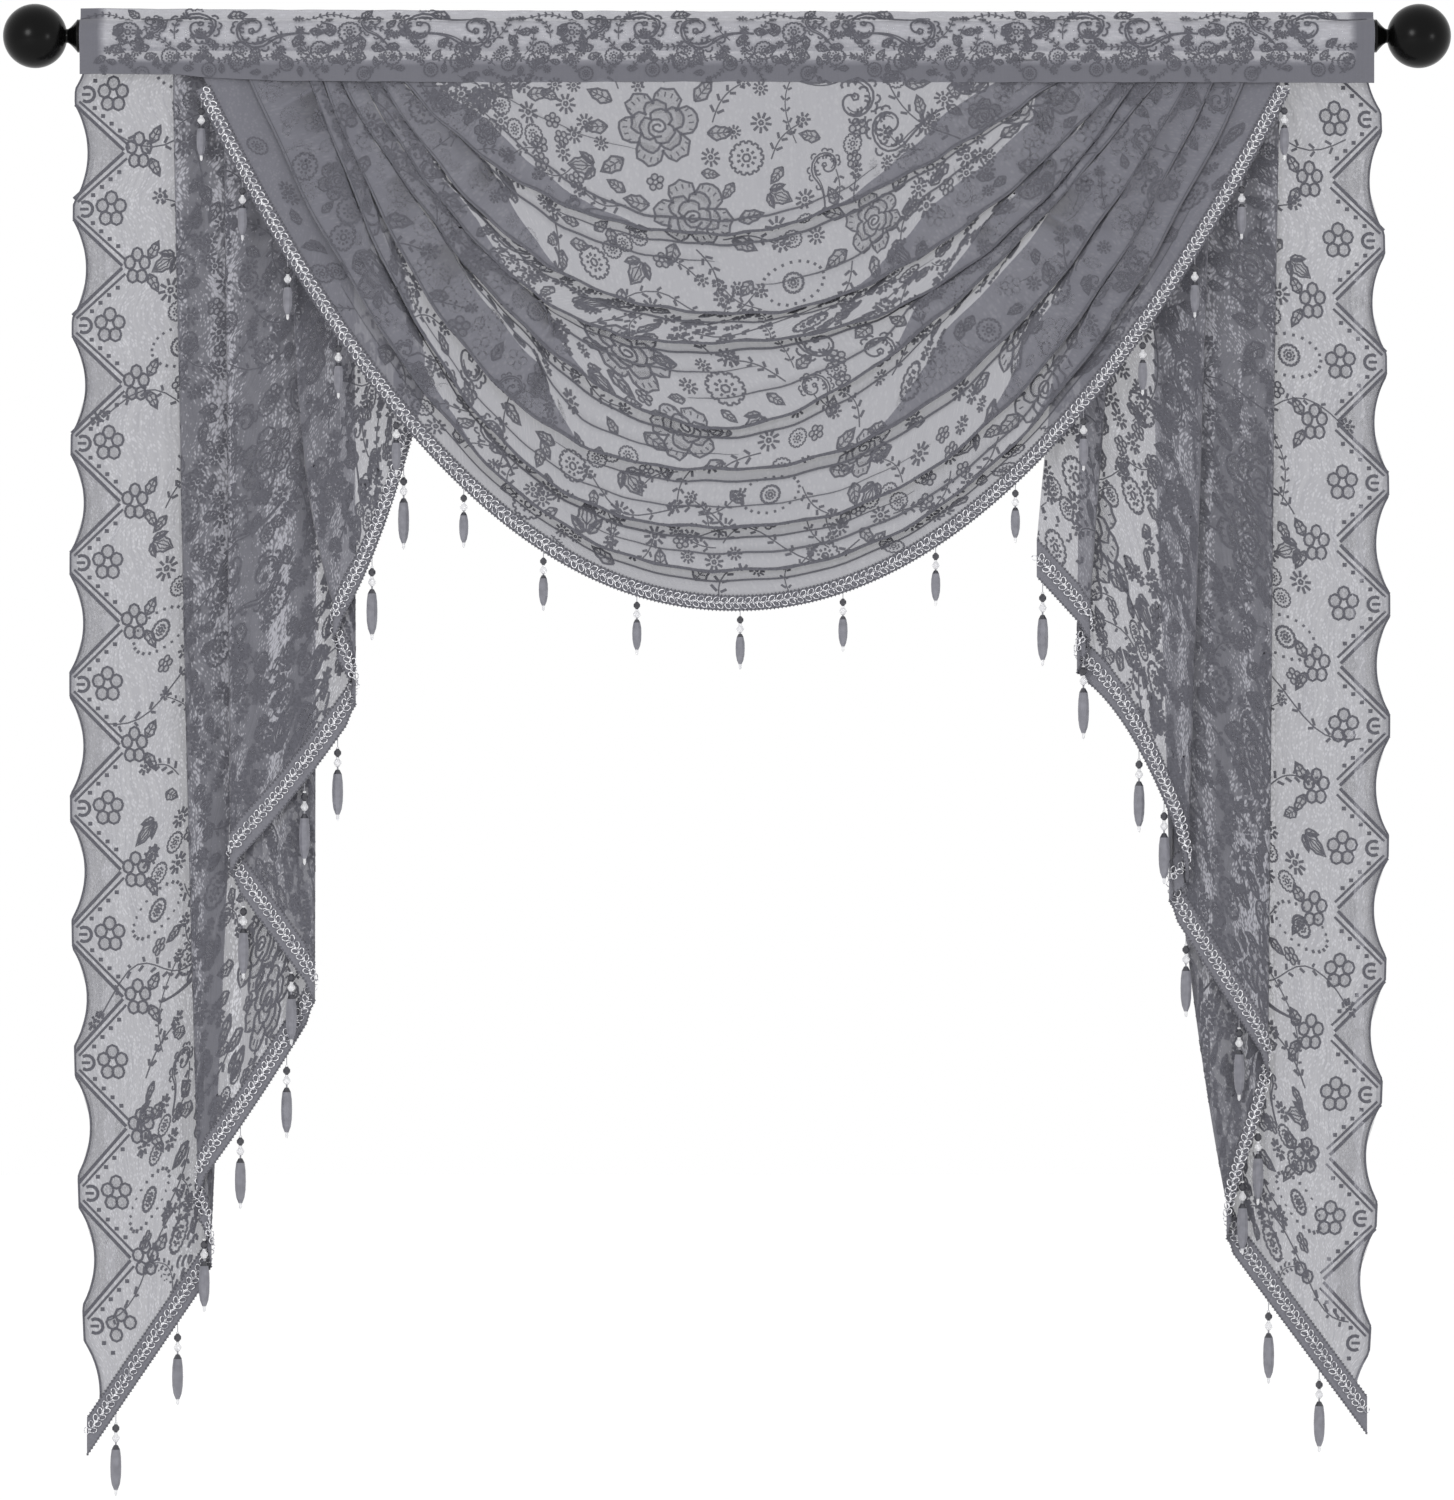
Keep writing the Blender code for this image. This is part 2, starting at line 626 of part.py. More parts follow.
makeRod(makeMaterial("white powder-coated steel rod", (0.700, 0.700, 0.715), 0.40, 0.0))
makeFinial("finial_left", -1, makeMaterial("black lacquered finial left", (0.006, 0.006, 0.006), 0.12, 0.0))
makeFinial("finial_right", 1, makeMaterial("black lacquered finial right", (0.006, 0.006, 0.006), 0.12, 0.0))
makeHeader(makeMaterial("lace header cloth", (0.30, 0.30, 0.33), 0.90, 0.0))
makeSwag(makeMaterial("sheer lace swag cloth", (0.40, 0.40, 0.44), 0.90, 0.0))
makeCascade("cascade_left", LEFT_FOLDS, LEFT_SCALLOPS,
            makeMaterial("sheer lace left cascade cloth", (0.33, 0.33, 0.36), 0.90, 0.0))
makeCascade("cascade_right", RIGHT_FOLDS, RIGHT_SCALLOPS,
            makeMaterial("sheer lace right cascade cloth", (0.33, 0.33, 0.36), 0.90, 0.0))
makeSwagTape(makeMaterial("silver braid swag tape", (0.50, 0.50, 0.53), 0.45, 0.2))
makeCascadeTape("cascade_left_beaded_trim", LEFT_FOLDS, LEFT_DROPS,
                makeMaterial("silver braid left tape", (0.50, 0.50, 0.53), 0.45, 0.2))
makeCascadeTape("cascade_right_beaded_trim", RIGHT_FOLDS, RIGHT_DROPS,
                makeMaterial("silver braid right tape", (0.50, 0.50, 0.53), 0.45, 0.2))
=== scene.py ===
# Looks of the lace swag valance: sheer knitted lace on a rod, edged with chain braid and bead drops.
import math
import random
from collections import namedtuple

import bpy
import numpy as np
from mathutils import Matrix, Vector


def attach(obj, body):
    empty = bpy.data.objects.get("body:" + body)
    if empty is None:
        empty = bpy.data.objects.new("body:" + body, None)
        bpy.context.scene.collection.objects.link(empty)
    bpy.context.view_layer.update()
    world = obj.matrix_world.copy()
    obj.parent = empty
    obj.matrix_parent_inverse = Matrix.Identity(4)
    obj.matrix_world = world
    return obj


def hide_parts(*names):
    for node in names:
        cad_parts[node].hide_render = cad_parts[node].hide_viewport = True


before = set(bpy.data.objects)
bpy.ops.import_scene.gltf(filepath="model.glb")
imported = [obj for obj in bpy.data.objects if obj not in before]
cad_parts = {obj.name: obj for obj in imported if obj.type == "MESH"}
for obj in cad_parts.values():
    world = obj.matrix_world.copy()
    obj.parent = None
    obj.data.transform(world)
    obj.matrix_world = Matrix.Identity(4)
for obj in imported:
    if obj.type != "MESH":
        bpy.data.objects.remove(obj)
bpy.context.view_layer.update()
print("frame loaded")


# Small helpers

def blend(start, end, share):
    return start + (end - start) * share


def hexColour(code):  # sRGB hex to the linear colour that shaders take
    parts = [int(code[i:i + 2], 16) / 255 for i in (1, 3, 5)]
    return tuple(c / 12.92 if c <= 0.04045 else ((c + 0.055) / 1.055) ** 2.4 for c in parts) + (1,)


def setInputs(tree, node, inputs):
    for key, value in inputs.items():
        if isinstance(value, bpy.types.NodeSocket):
            tree.links.new(value, node.inputs[key])
        else:
            node.inputs[key].default_value = value


def addNode(tree, kind, settings, inputs):
    node = tree.nodes.new("ShaderNode" + kind)
    for key, value in settings.items():
        setattr(node, key, value)
    setInputs(tree, node, inputs)
    return node


def newMaterial(name):
    material = bpy.data.materials.new(name)
    material.use_nodes = True
    return material, material.node_tree, material.node_tree.nodes["Principled BSDF"]


def unit(vectors):
    return vectors / np.maximum(np.linalg.norm(vectors, axis=-1, keepdims=True), 1e-12)


def runLengths(points):
    return np.concatenate([[0], np.cumsum(np.linalg.norm(np.diff(points, axis=0), axis=1))])


def sample(field, wanted, stations):  # a list of vectors read between its stations
    return np.stack([np.interp(wanted, stations, field[:, axis]) for axis in range(3)], axis=1)


# A piece from arrays of points and faces; faces may come in groups, one for each material.
def makePiece(name, points, faceGroups, materials, replaced=(), smooth=True):
    mesh = bpy.data.meshes.new(name)
    faces = [face for group in faceGroups for face in group]
    mesh.from_pydata([tuple(point) for point in points], [], faces)
    for material in materials:
        mesh.materials.append(material)
    indices = [i for i, group in enumerate(faceGroups) for _ in group]
    mesh.polygons.foreach_set("material_index", indices)
    mesh.polygons.foreach_set("use_smooth", [smooth] * len(faces))
    piece = bpy.data.objects.new(name, mesh)
    bpy.context.scene.collection.objects.link(piece)
    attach(piece, "root")
    if replaced:
        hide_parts(*replaced)
    return piece


# Cloth: a grid of points with the length of thread along each row and down each column

Cloth = namedtuple("Cloth", "points shades across down normals anchor")


def makeCloth(rows, shades, face, anchorColumn):
    points = np.array(rows)
    across = np.linalg.norm(np.diff(points, axis=1), axis=2)
    down = np.linalg.norm(np.diff(points, axis=0), axis=2)
    across = np.concatenate([np.zeros((len(points), 1)), np.cumsum(across, axis=1)], axis=1)
    down = np.concatenate([np.zeros((1, points.shape[1])), np.cumsum(down, axis=0)], axis=0)
    normals = face * np.cross(np.gradient(points, axis=0), np.gradient(points, axis=1))
    return Cloth(points, np.array(shades), across, down, unit(normals), anchorColumn)


def gridFaces(rowCount, columnCount):
    return [(i * columnCount + j, (i + 1) * columnCount + j, (i + 1) * columnCount + j + 1,
             i * columnCount + j + 1) for i in range(rowCount - 1) for j in range(columnCount - 1)]


def clothPiece(name, cloth, material, replaced=()):
    rowCount, columnCount = cloth.points.shape[:2]
    piece = makePiece(name, cloth.points.reshape(-1, 3), [gridFaces(rowCount, columnCount)],
                      [material], replaced)
    mesh = piece.data
    across = cloth.across - cloth.across[:, [cloth.anchor]]
    flat = np.stack([across, cloth.down], axis=2).reshape(-1, 2)
    corners = np.zeros(len(mesh.loops), dtype=np.int32)
    mesh.loops.foreach_get("vertex_index", corners)
    mesh.uv_layers.new(name="flatCloth").data.foreach_set("uv", flat[corners].ravel())
    shade = mesh.attributes.new("foldShade", "FLOAT", "POINT")
    shade.data.foreach_set("value", cloth.shades.ravel().astype(np.float32))
    return piece


# Rows and columns reached from one place by going `down` the cloth and then `across` it, in metres.
def walk(cloth, row, column, across, down):
    rowCount, columnCount = cloth.points.shape[:2]
    j = min(int(column), columnCount - 2)
    f = column - j
    lengths = blend(cloth.down[:, j], cloth.down[:, j + 1], f)
    wanted = np.interp(row, range(rowCount), lengths) + down
    inside = (wanted >= lengths[0]) & (wanted <= lengths[-1])
    rows = np.interp(wanted, lengths, range(rowCount))
    i = np.minimum(rows.astype(int), rowCount - 2)
    lengths = blend(cloth.across[i], cloth.across[i + 1], (rows - i)[:, None])
    wanted = blend(lengths[:, j], lengths[:, j + 1], f) + across
    inside &= (wanted >= lengths[:, 0]) & (wanted <= lengths[:, -1])
    columns = np.array([np.interp(want, line, range(columnCount)) for want, line in zip(wanted, lengths)])
    return rows, columns, inside


def clothPlaces(cloth, rows, columns):
    i = np.clip(rows.astype(int), 0, cloth.points.shape[0] - 2)
    j = np.clip(columns.astype(int), 0, cloth.points.shape[1] - 2)
    f, g = (rows - i)[:, None], (columns - j)[:, None]
    places = []
    for field in (cloth.points, cloth.normals):
        upper = blend(field[i, j], field[i, j + 1], g)
        lower = blend(field[i + 1, j], field[i + 1, j + 1], g)
        places.append(blend(upper, lower, f))
    return places


# Swag: the six pleats of its solid and one fine pleat more, with close rows and columns

swagShape = {
    "seamTop": -0.0232, "seamY": -0.0063, "pitchSeam": 0.0016, "pitchOpen": 0.0045, "openDepth": 0.25,
    "leanStart": -0.046, "lean": 0.022, "leanDepth": 0.20, "turnShare": 0.42,
    "columns": 120, "columnReach": 0.92, "rowStep": 0.008, "belly": 0.05, "mostBelly": 0.0035,
    "tapeWidth": 0.0115, "tapeGap": 0.0005, "tapeTuck": 0.0020, "headerBottom": -0.0456,
    "foldLine": 2.8, "wobble": 0.0007, "thinFold": 0.0028, "cornerStart": 0.80, "cornerGrowth": 0.10,
    "creaseHalf": 0.0016, "creaseClear": 2.5, "creaseFall": 0.7, "flatCreaseHeight": 0.02,
    "topGrowth": -0.5, "openPower": 1.2, "leastOverlap": 0.001, "edgeShade": 0.6, "backShade": 0.8,
    "drops": 17, "dropStart": 0.012, "dropSlip": 0.0115,
}
SwagCurve = namedtuple("SwagCurve", "left right low depth leftPower rightPower")
swagTop = SwagCurve(-0.254, 0.252, 0.0, -0.0232, 2.0, 2.0)
swagEdge = SwagCurve(-0.494, 0.524, 0.008, -0.523, 2.10, 2.05)
pleats = [SwagCurve(*row) for row in (
    (-0.318, 0.335, 0.008, -0.1865, 2.50, 1.50), (-0.335, 0.383, 0.023, -0.2605, 2.60, 1.80),
    (-0.350, 0.394, -0.034, -0.2875, 2.25, 2.60), (-0.372, 0.415, 0.001, -0.3675, 1.90, 1.60),
    (-0.383, 0.440, 0.000, -0.4050, 2.70, 2.15), (-0.3945, 0.462, -0.007, -0.4585, 2.60, 2.40),
    (-0.452, 0.490, -0.002, -0.4990, 2.20, 2.30),
)]

# How far each pleat is folded back under itself, at its left and at its right: the overlap is thin up to
# the share `start` of the swag's half width, and has opened to its full width at the share `full`.
Wedge = namedtuple("Wedge", "start full width")
wedges = [tuple(Wedge(*half) for half in halves) for halves in (
    ((0.24, 0.73, 0.029), (0.28, 0.66, 0.034)), ((0.48, 0.75, 0.037), (0.25, 0.52, 0.036)),
    ((0.52, 0.66, 0.016), (0.54, 0.66, 0.023)), ((0.36, 0.50, 0.027), (0.36, 0.48, 0.027)),
    ((0.36, 0.52, 0.042), (0.30, 0.52, 0.045)), ((0.74, 0.88, 0.040), (0.52, 0.66, 0.030)),
    ((0.52, 0.72, 0.026), (0.58, 0.74, 0.032)),
)]

# Creases pressed into the swag's panels: panel 0 is the top one, place runs from 0 at its top to 1 at its
# bottom, and each crease fades out at the shares `start` and `end` of the swag's width.
# A crease's shade darkens the net along it and gives it a dark line of yarn: painted shade.
Crease = namedtuple("Crease", "panel place shade height start end")
creases = [Crease(*row) for row in (
    (0, 0.55, 0.30, 0.0014, -1.00, -0.25), (0, 0.93, 0.85, 0.0012, -0.90, 0.45),
    (1, 0.12, 0.85, 0.0016, -0.60, 0.95), (1, 0.35, 0.80, 0.0022, -1.00, -0.05),
    (1, 0.66, 0.70, 0.0018, 0.00, 1.00), (2, 0.30, 0.80, 0.0014, -0.85, 0.50),
    (3, 0.10, 0.85, 0.0016, -0.50, 0.90), (3, 0.34, 0.80, 0.0022, -1.00, 0.15),
    (3, 0.66, 0.75, 0.0020, -0.10, 1.00), (4, 0.22, 0.85, 0.0014, -0.85, 0.60),
    (4, 0.66, 0.60, 0.0016, -1.00, 0.05), (5, 0.20, 0.85, 0.0022, -0.45, 1.00),
    (5, 0.66, 0.50, 0.0018, -0.90, 0.45), (6, 0.24, 0.85, 0.0014, -0.90, 0.40),
    (6, 0.62, 0.80, 0.0016, -0.35, 1.00), (7, 0.35, 0.70, 0.0010, -0.80, 0.90),
)]
# How far each panel's creases slant: up at the left and down at the right, as a share of its height
slants = (-0.10, 0.20, -0.22, -0.18, 0.22, -0.22, 0.20, 0.0)

swagLimit = swagShape["columnReach"] * math.pi / 2
swagShares = np.sin(np.linspace(-swagLimit, swagLimit, swagShape["columns"] + 1)) / math.sin(swagLimit)


def curvePlaces(curve, shares):  # x and z along a swag curve, from -1 at its left end to 1 at its right
    reach = np.where(shares < 0, curve.low - curve.left, curve.right - curve.low)
    power = np.where(shares < 0, curve.leftPower, curve.rightPower)
    fall = 1 - np.abs(shares) ** power
    return np.stack([curve.low + shares * reach, blend(swagShape["seamTop"], curve.depth, fall)], axis=1)


def curveInward(curve, shares):  # unit vectors square to the curve, pointing up into the swag
    step = 0.001
    inner = np.clip(shares, step - 1, 1 - step)
    along = unit(curvePlaces(curve, inner + step) - curvePlaces(curve, inner - step))
    return np.stack([-along[:, 1], along[:, 0]], axis=1)


def openShare(shape, z):  # 0 at the seam, and 1 from where the folds have opened
    return np.minimum(1, (shape["seamTop"] - z) / shape["openDepth"])


def pitchAt(shape, z):  # from one layer of folded cloth to the next
    return blend(shape["pitchSeam"], shape["pitchOpen"], openShare(shape, z))


def swagPoints(places, layer):  # layer 0 is a pleat's front and layer 2 its back
    fall = np.maximum(0, swagShape["leanStart"] - places[:, 1])
    lean = swagShape["lean"] * (1 - np.exp(-fall / swagShape["leanDepth"]))
    y = swagShape["seamY"] - lean + layer * pitchAt(swagShape, places[:, 1])
    return np.stack([places[:, 0], y, places[:, 1]], axis=1)


# A pleat's overlap along its lip. It never passes the lip above, and near the header it reaches that lip,
# which leaves three layers everywhere in the corners.
def foldOverlap(number, lip, above):
    places, others = curvePlaces(lip, swagShares), curvePlaces(above, np.linspace(-1, 1, 400))
    spacing = np.linalg.norm(places[:, None] - others[None], axis=2).min(axis=1)
    overlap = np.zeros(len(swagShares))
    outwards, start = np.abs(swagShares), swagShape["cornerStart"]
    corner = np.clip((outwards - start) / (1 - start), 0, 1)
    for wedge, half in zip(wedges[number], (swagShares < 0, swagShares >= 0)):
        opening = np.clip((outwards - wedge.start) / (wedge.full - wedge.start), 0, 1)
        growth = swagShape["cornerGrowth"] if number else swagShape["topGrowth"] * wedge.width
        wide = np.minimum(wedge.width + growth * corner, spacing)
        overlap[half] = blend(swagShape["thinFold"], wide, opening ** swagShape["openPower"])[half]
    return np.minimum(overlap, np.maximum(spacing, swagShape["leastOverlap"]))


def swagRow(curve, layer, inset=0.0):
    places = curvePlaces(curve, swagShares) + curveInward(curve, swagShares) * np.reshape(inset, (-1, 1))
    places[:, 1] = np.minimum(places[:, 1], swagShape["seamTop"])
    return swagPoints(places, layer)


def fadeWindow(start, end):  # 1 in the middle of a crease, falling to 0 at both of its ends
    place = np.clip((swagShares - start) / (end - start), 0, 1)
    return np.sin(math.pi * place) ** 0.6


def panelRows(number, upper, lower):  # each row with its shade and the width of its fold line
    height = np.linalg.norm(lower - upper, axis=1)
    tallest = height.max()
    count = max(3, round(tallest / swagShape["rowStep"]))
    own = [crease for crease in creases if crease.panel == number]
    beside = swagShape["creaseHalf"] / tallest
    clear = swagShape["creaseClear"] * beside
    plain = [i / count for i in range(1, count)]
    stations = [(place, None, 0) for place in plain
                if all(abs(place - crease.place) > clear for crease in own)]
    for crease in own:
        stations += [(crease.place + side * beside, crease, 1 - swagShape["creaseFall"] * abs(side))
                     for side in (-1, 0, 1)]
    belly = np.minimum(swagShape["mostBelly"], swagShape["belly"] * height)
    rows = []
    for place, crease, strength in sorted(stations, key=lambda station: station[0]):
        slanted = place * (1 + slants[number] * swagShares * (1 - place))
        row = blend(upper, lower, slanted[:, None])
        row[:, 1] -= belly * 4 * place * (1 - place)
        shade, width = np.zeros(len(swagShares)), None
        if crease:
            window = strength * fadeWindow(crease.start, crease.end)
            row[:, 1] -= crease.height * window * np.minimum(1, height / swagShape["flatCreaseHeight"])
            shade = crease.shade * window
            if strength == 1:
                width = swagShape["foldLine"] * shade
        rows.append((row, shade, width))
    return rows


def makeSwagCloth():  # the cloth, its fold lines as row numbers with widths in millimetres, and its lips
    none, lipRows = np.zeros(len(swagShares)), []
    rows = [(swagRow(swagTop, 0), none, None)]
    for number, (lip, above) in enumerate(zip(pleats, [swagTop] + pleats)):
        overlap = foldOverlap(number, lip, above)
        # Two unlike waves along each lip keep it from running smooth, and two more thin its fold line
        slow, quick = np.sin(31 * swagShares + 2.1 * number), np.sin(53 * swagShares + number)
        wobble = swagShape["wobble"] * (slow + quick)
        uneven = 1 + 0.3 * np.sin(23 * swagShares + 4 * number) * np.sin(71 * swagShares + number)
        depth = np.minimum(swagShape["pitchOpen"] / 2, swagShape["turnShare"] * overlap)
        tuckRow = swagRow(lip, 0.1, overlap + wobble)
        rows += panelRows(number, rows[-1][0], tuckRow) + [(tuckRow, none, None)]
        lipRows.append(len(rows))
        for inset, side, layer in ((0, 1, 0.5), (overlap, -1, 1.5)):
            for angle in range(0, 181, 45):
                turn = math.radians(angle)
                bend = inset + wobble + side * (1 - math.sin(turn)) * depth
                row = swagRow(lip, layer - 0.5 * math.cos(turn), bend)
                width = swagShape["foldLine"] * fadeWindow(-1.02, 1.02) * uneven
                # The turned edge darkens by its shade: the lace seen edge on there is denser, and its darker
                # colour is painted shade.
                shade = math.sin(turn) ** 2 * (1.0 if side > 0 else swagShape["backShade"])
                rows.append((row, none + shade, width if side > 0 and angle == 0 else None))
        rows.append((swagRow(lip, 2, wobble), none, None))
    edge = swagRow(swagEdge, 0)
    rows += panelRows(len(pleats), rows[-1][0], edge) + [(edge, none + swagShape["edgeShade"], None)]
    points, shades, widths = zip(*rows)
    foldLines = [(i, width) for i, width in enumerate(widths) if width is not None]
    return makeCloth(points, shades, 1, swagShape["columns"] // 2), foldLines, lipRows


# Cascades: seven panels folded back and forth, with a scalloped outer edge

cascadeShape = {
    "seamTop": -0.0232, "frontY": -0.0004, "pitchSeam": 0.0016, "pitchOpen": 0.0080, "openDepth": 0.30,
    "wave": 0.003, "waveLength": 0.145, "tapeDrop": 0.040, "tapeGap": 0.0036,
    "clothDrop": 0.0325, "tapeLift": 0.0006,
    "columnStep": 0.0095, "rows": 184, "scallopDepth": 0.013, "scallopRadius": 0.0868,
    "scallopHalf": 0.050, "scallopFade": 0.060, "flute": 0.0011, "fluteLength": 0.031, "edgeShade": 0.8,
}
FoldLine = namedtuple("FoldLine", "topX hemX tapeZ bend hemBow")
Scallops = namedtuple("Scallops", "side bow first step growth count flower")
leftFolds = [FoldLine(*row) for row in (
    (-0.607, -0.600, -1.326, 1.0, 0.000), (-0.448, -0.483, -1.148, 1.5, 0.000),
    (-0.516, -0.496, -1.079, 1.5, -0.006), (-0.383, -0.385, -0.899, 1.0, 0.000),
    (-0.469, -0.464, -0.778, 1.0, -0.008), (-0.348, -0.346, -0.622, 1.0, 0.000),
    (-0.405, -0.367, -0.560, 4.0, -0.030), (-0.350, -0.281, -0.330, 1.0, 0.000),
)]
rightFolds = [FoldLine(*row) for row in (
    (0.608, 0.600, -1.306, 1.0, 0.000), (0.399, 0.468, -1.122, 3.0, 0.000),
    (0.515, 0.507, -0.966, 1.0, 0.000), (0.401, 0.413, -0.805, 1.5, 0.000),
    (0.454, 0.431, -0.785, 1.0, 0.035), (0.333, 0.326, -0.592, 1.0, 0.000),
    (0.376, 0.338, -0.562, 1.0, 0.000), (0.366, 0.288, -0.503, 0.5, 0.000),
)]
# flower is how far in from a tip its blossom sits, in millimetres
leftScallops = Scallops(-1, -0.013, -0.053, 0.1047, 0.00104, 12, 36)
rightScallops = Scallops(1, 0.018, -0.076, 0.1118, 0.00026, 12, 44)
TapeDrop = namedtuple("TapeDrop", "panel across")
leftDrops = [TapeDrop(*row) for row in (
    (1, 0.24), (1, 0.75), (2, 0.50), (3, 0.36), (3, 0.78), (4, 0.25), (4, 0.88), (5, 0.60), (5, 0.88),
    (7, 0.40), (7, 0.76),
)]
rightDrops = [TapeDrop(*row) for row in (
    (1, 0.35), (1, 0.72), (2, 0.35), (2, 0.80), (3, 0.28), (3, 0.86), (5, 0.20), (5, 0.44), (6, 0.50),
    (7, 0.88),
)]
# stack is where the folds lie over one another: from and to, in metres from the middle of the rod
Cascade = namedtuple("Cascade", "name side folds scallops drops stack seed")
cascades = [
    Cascade("cascade_left", "left", leftFolds, leftScallops, leftDrops, (0.360, 0.514), 11),
    Cascade("cascade_right", "right", rightFolds, rightScallops, rightDrops, (0.404, 0.514), 12),
]
Column = namedtuple("Column", "first second across inset layer tapeZ shade")


def cascadeY(layer, x, z):
    wave = cascadeShape["wave"] * (1 - np.cos(2 * math.pi * x / cascadeShape["waveLength"])) / 2
    flute = cascadeShape["flute"] * np.sin(2 * math.pi * x / cascadeShape["fluteLength"] + 5 * layer)
    flute = flute * np.sin(9 * x + 3 * layer)
    y = cascadeShape["frontY"] + layer * pitchAt(cascadeShape, z)
    return y + openShare(cascadeShape, z) * (wave + flute)


def foldX(fold, fall):
    return blend(fold.topX, fold.hemX, fall ** fold.bend)


def panelTape(first, second, across):  # height of the tape's lower edge at a place across a panel
    return blend(first.tapeZ, second.tapeZ, across) + first.hemBow * 4 * across * (1 - across)


def cascadeColumns(folds):
    columns, last, halfPitch = [], len(folds) - 1, 0.5 * cascadeShape["pitchOpen"]
    for i, (first, second) in enumerate(zip(folds, folds[1:])):
        layer = last - 1 - i
        width = second.hemX - first.hemX
        side = math.copysign(0.5, width)
        turnShare = halfPitch / abs(width)
        count = max(3, round(max(abs(width), abs(second.topX - first.topX)) / cascadeShape["columnStep"]))
        low = 0 if i == 0 else turnShare
        high = 1 if i == last - 1 else 1 - turnShare
        for j in range(count + 1):
            hemShare = blend(low, high, j / count)
            across, inset = j / count, 0
            if j == 0 and i > 0:
                inset = side
            if j == count and i < last - 1:
                inset = -side
            tapeZ = panelTape(first, second, hemShare)
            columns.append(Column(first, second, across, inset, layer, tapeZ, 0))
        if i < last - 1:
            third = folds[i + 2]
            nextShare = halfPitch / abs(third.hemX - second.hemX)
            for angle in (45, 90, 135):
                turn = math.radians(angle)
                depth = 1 - math.sin(turn)
                tapeZ = panelTape(first, second, 1 - turnShare * depth)
                if angle > 90:
                    tapeZ = panelTape(second, third, nextShare * depth)
                columns.append(Column(first, second, 1, -side * depth, layer - 0.5 + 0.5 * math.cos(turn),
                                      tapeZ, math.sin(turn) ** 2))
    return columns


def columnPoint(column, z, fall, bow):
    x = blend(foldX(column.first, fall), foldX(column.second, fall), column.across)
    x = x + column.inset * pitchAt(cascadeShape, z) + bow * 4 * fall * (1 - fall) * (1 - column.across)
    return np.array([x, cascadeY(column.layer, x, z), z])


def outerEdgeX(folds, scallops, z):
    hem = folds[0].tapeZ + cascadeShape["tapeDrop"]
    fall = np.clip((cascadeShape["seamTop"] - z) / (cascadeShape["seamTop"] - hem), 0, 1)
    return foldX(folds[0], fall) + scallops.bow * 4 * fall * (1 - fall)


def scallopTip(scallops, i):
    return scallops.first - scallops.step * i - scallops.growth * i * i


def scallopBite(folds, scallops, z):  # how far the round bite between two flat tips cuts in at this height
    for i in range(scallops.count + 1):
        middle = (scallopTip(scallops, i - 1) + scallopTip(scallops, i)) / 2
        if abs(z - middle) < cascadeShape["scallopHalf"]:
            radius = cascadeShape["scallopRadius"]
            chord = math.sqrt(radius ** 2 - (z - middle) ** 2)
            drift = abs(outerEdgeX(folds, scallops, middle)) - abs(outerEdgeX(folds, scallops, z))
            return max(0, chord - radius + cascadeShape["scallopDepth"] - drift)
    return 0


def makeCascadeCloth(folds, scallops):
    columns = cascadeColumns(folds)
    rows = []
    for i in range(cascadeShape["rows"] + 1):
        fall = i / cascadeShape["rows"]
        row = []
        for column in columns:
            z = blend(cascadeShape["seamTop"], column.tapeZ + cascadeShape["clothDrop"], fall)
            outer = column.first is folds[0]
            point = columnPoint(column, z, fall, scallops.bow if outer else 0)
            if outer:
                inward = abs(point[0] - outerEdgeX(folds, scallops, z))
                fade = max(0, 1 - inward / cascadeShape["scallopFade"])
                point[0] -= scallops.side * scallopBite(folds, scallops, z) * fade
            row.append(point)
        rows.append(row)
    shades = np.array([[column.shade for column in columns]] * len(rows))
    shades[:, 0] = cascadeShape["edgeShade"]
    return makeCloth(rows, shades, -scallops.side, 0)


# Lace and net materials

# Each look's fold colour is the darker colour that foldShade mixes in: painted shade along fold turns and
# creases, and the doubled cloth of hems and the flange.
NetLook = namedtuple("NetLook", "light dark fold cover foldCover streak speckle")
netLooks = {
    "swag": NetLook("#7B7B82", "#72727A", "#5E5E65", 0.75, 0.24, 0.10, (0.004, 0.006)),
    "cascade": NetLook("#9C9CA3", "#7C7C83", "#626269", 0.75, 0.20, 0.34, (0.0026, 0.0040)),
    "header": NetLook("#A2A2AA", "#94949C", "#63636A", 0.54, 0.44, 0.12, (0.012, 0.003)),
}
netThread = {"step": 0.0026, "length": 0.070, "grain": 700.0, "grainCover": 0.10, "cloudWide": 0.012,
             "cloudTall": 0.024, "cloudShare": 0.6, "speckles": 0.05, "speckleFrom": -0.12,
             "speckleTo": 0.22}
stackLook = {"light": "#A9A9B0", "dark": "#6E6E75", "bands": 2.0, "bandScale": (44.0, 0.0, 1.6)}


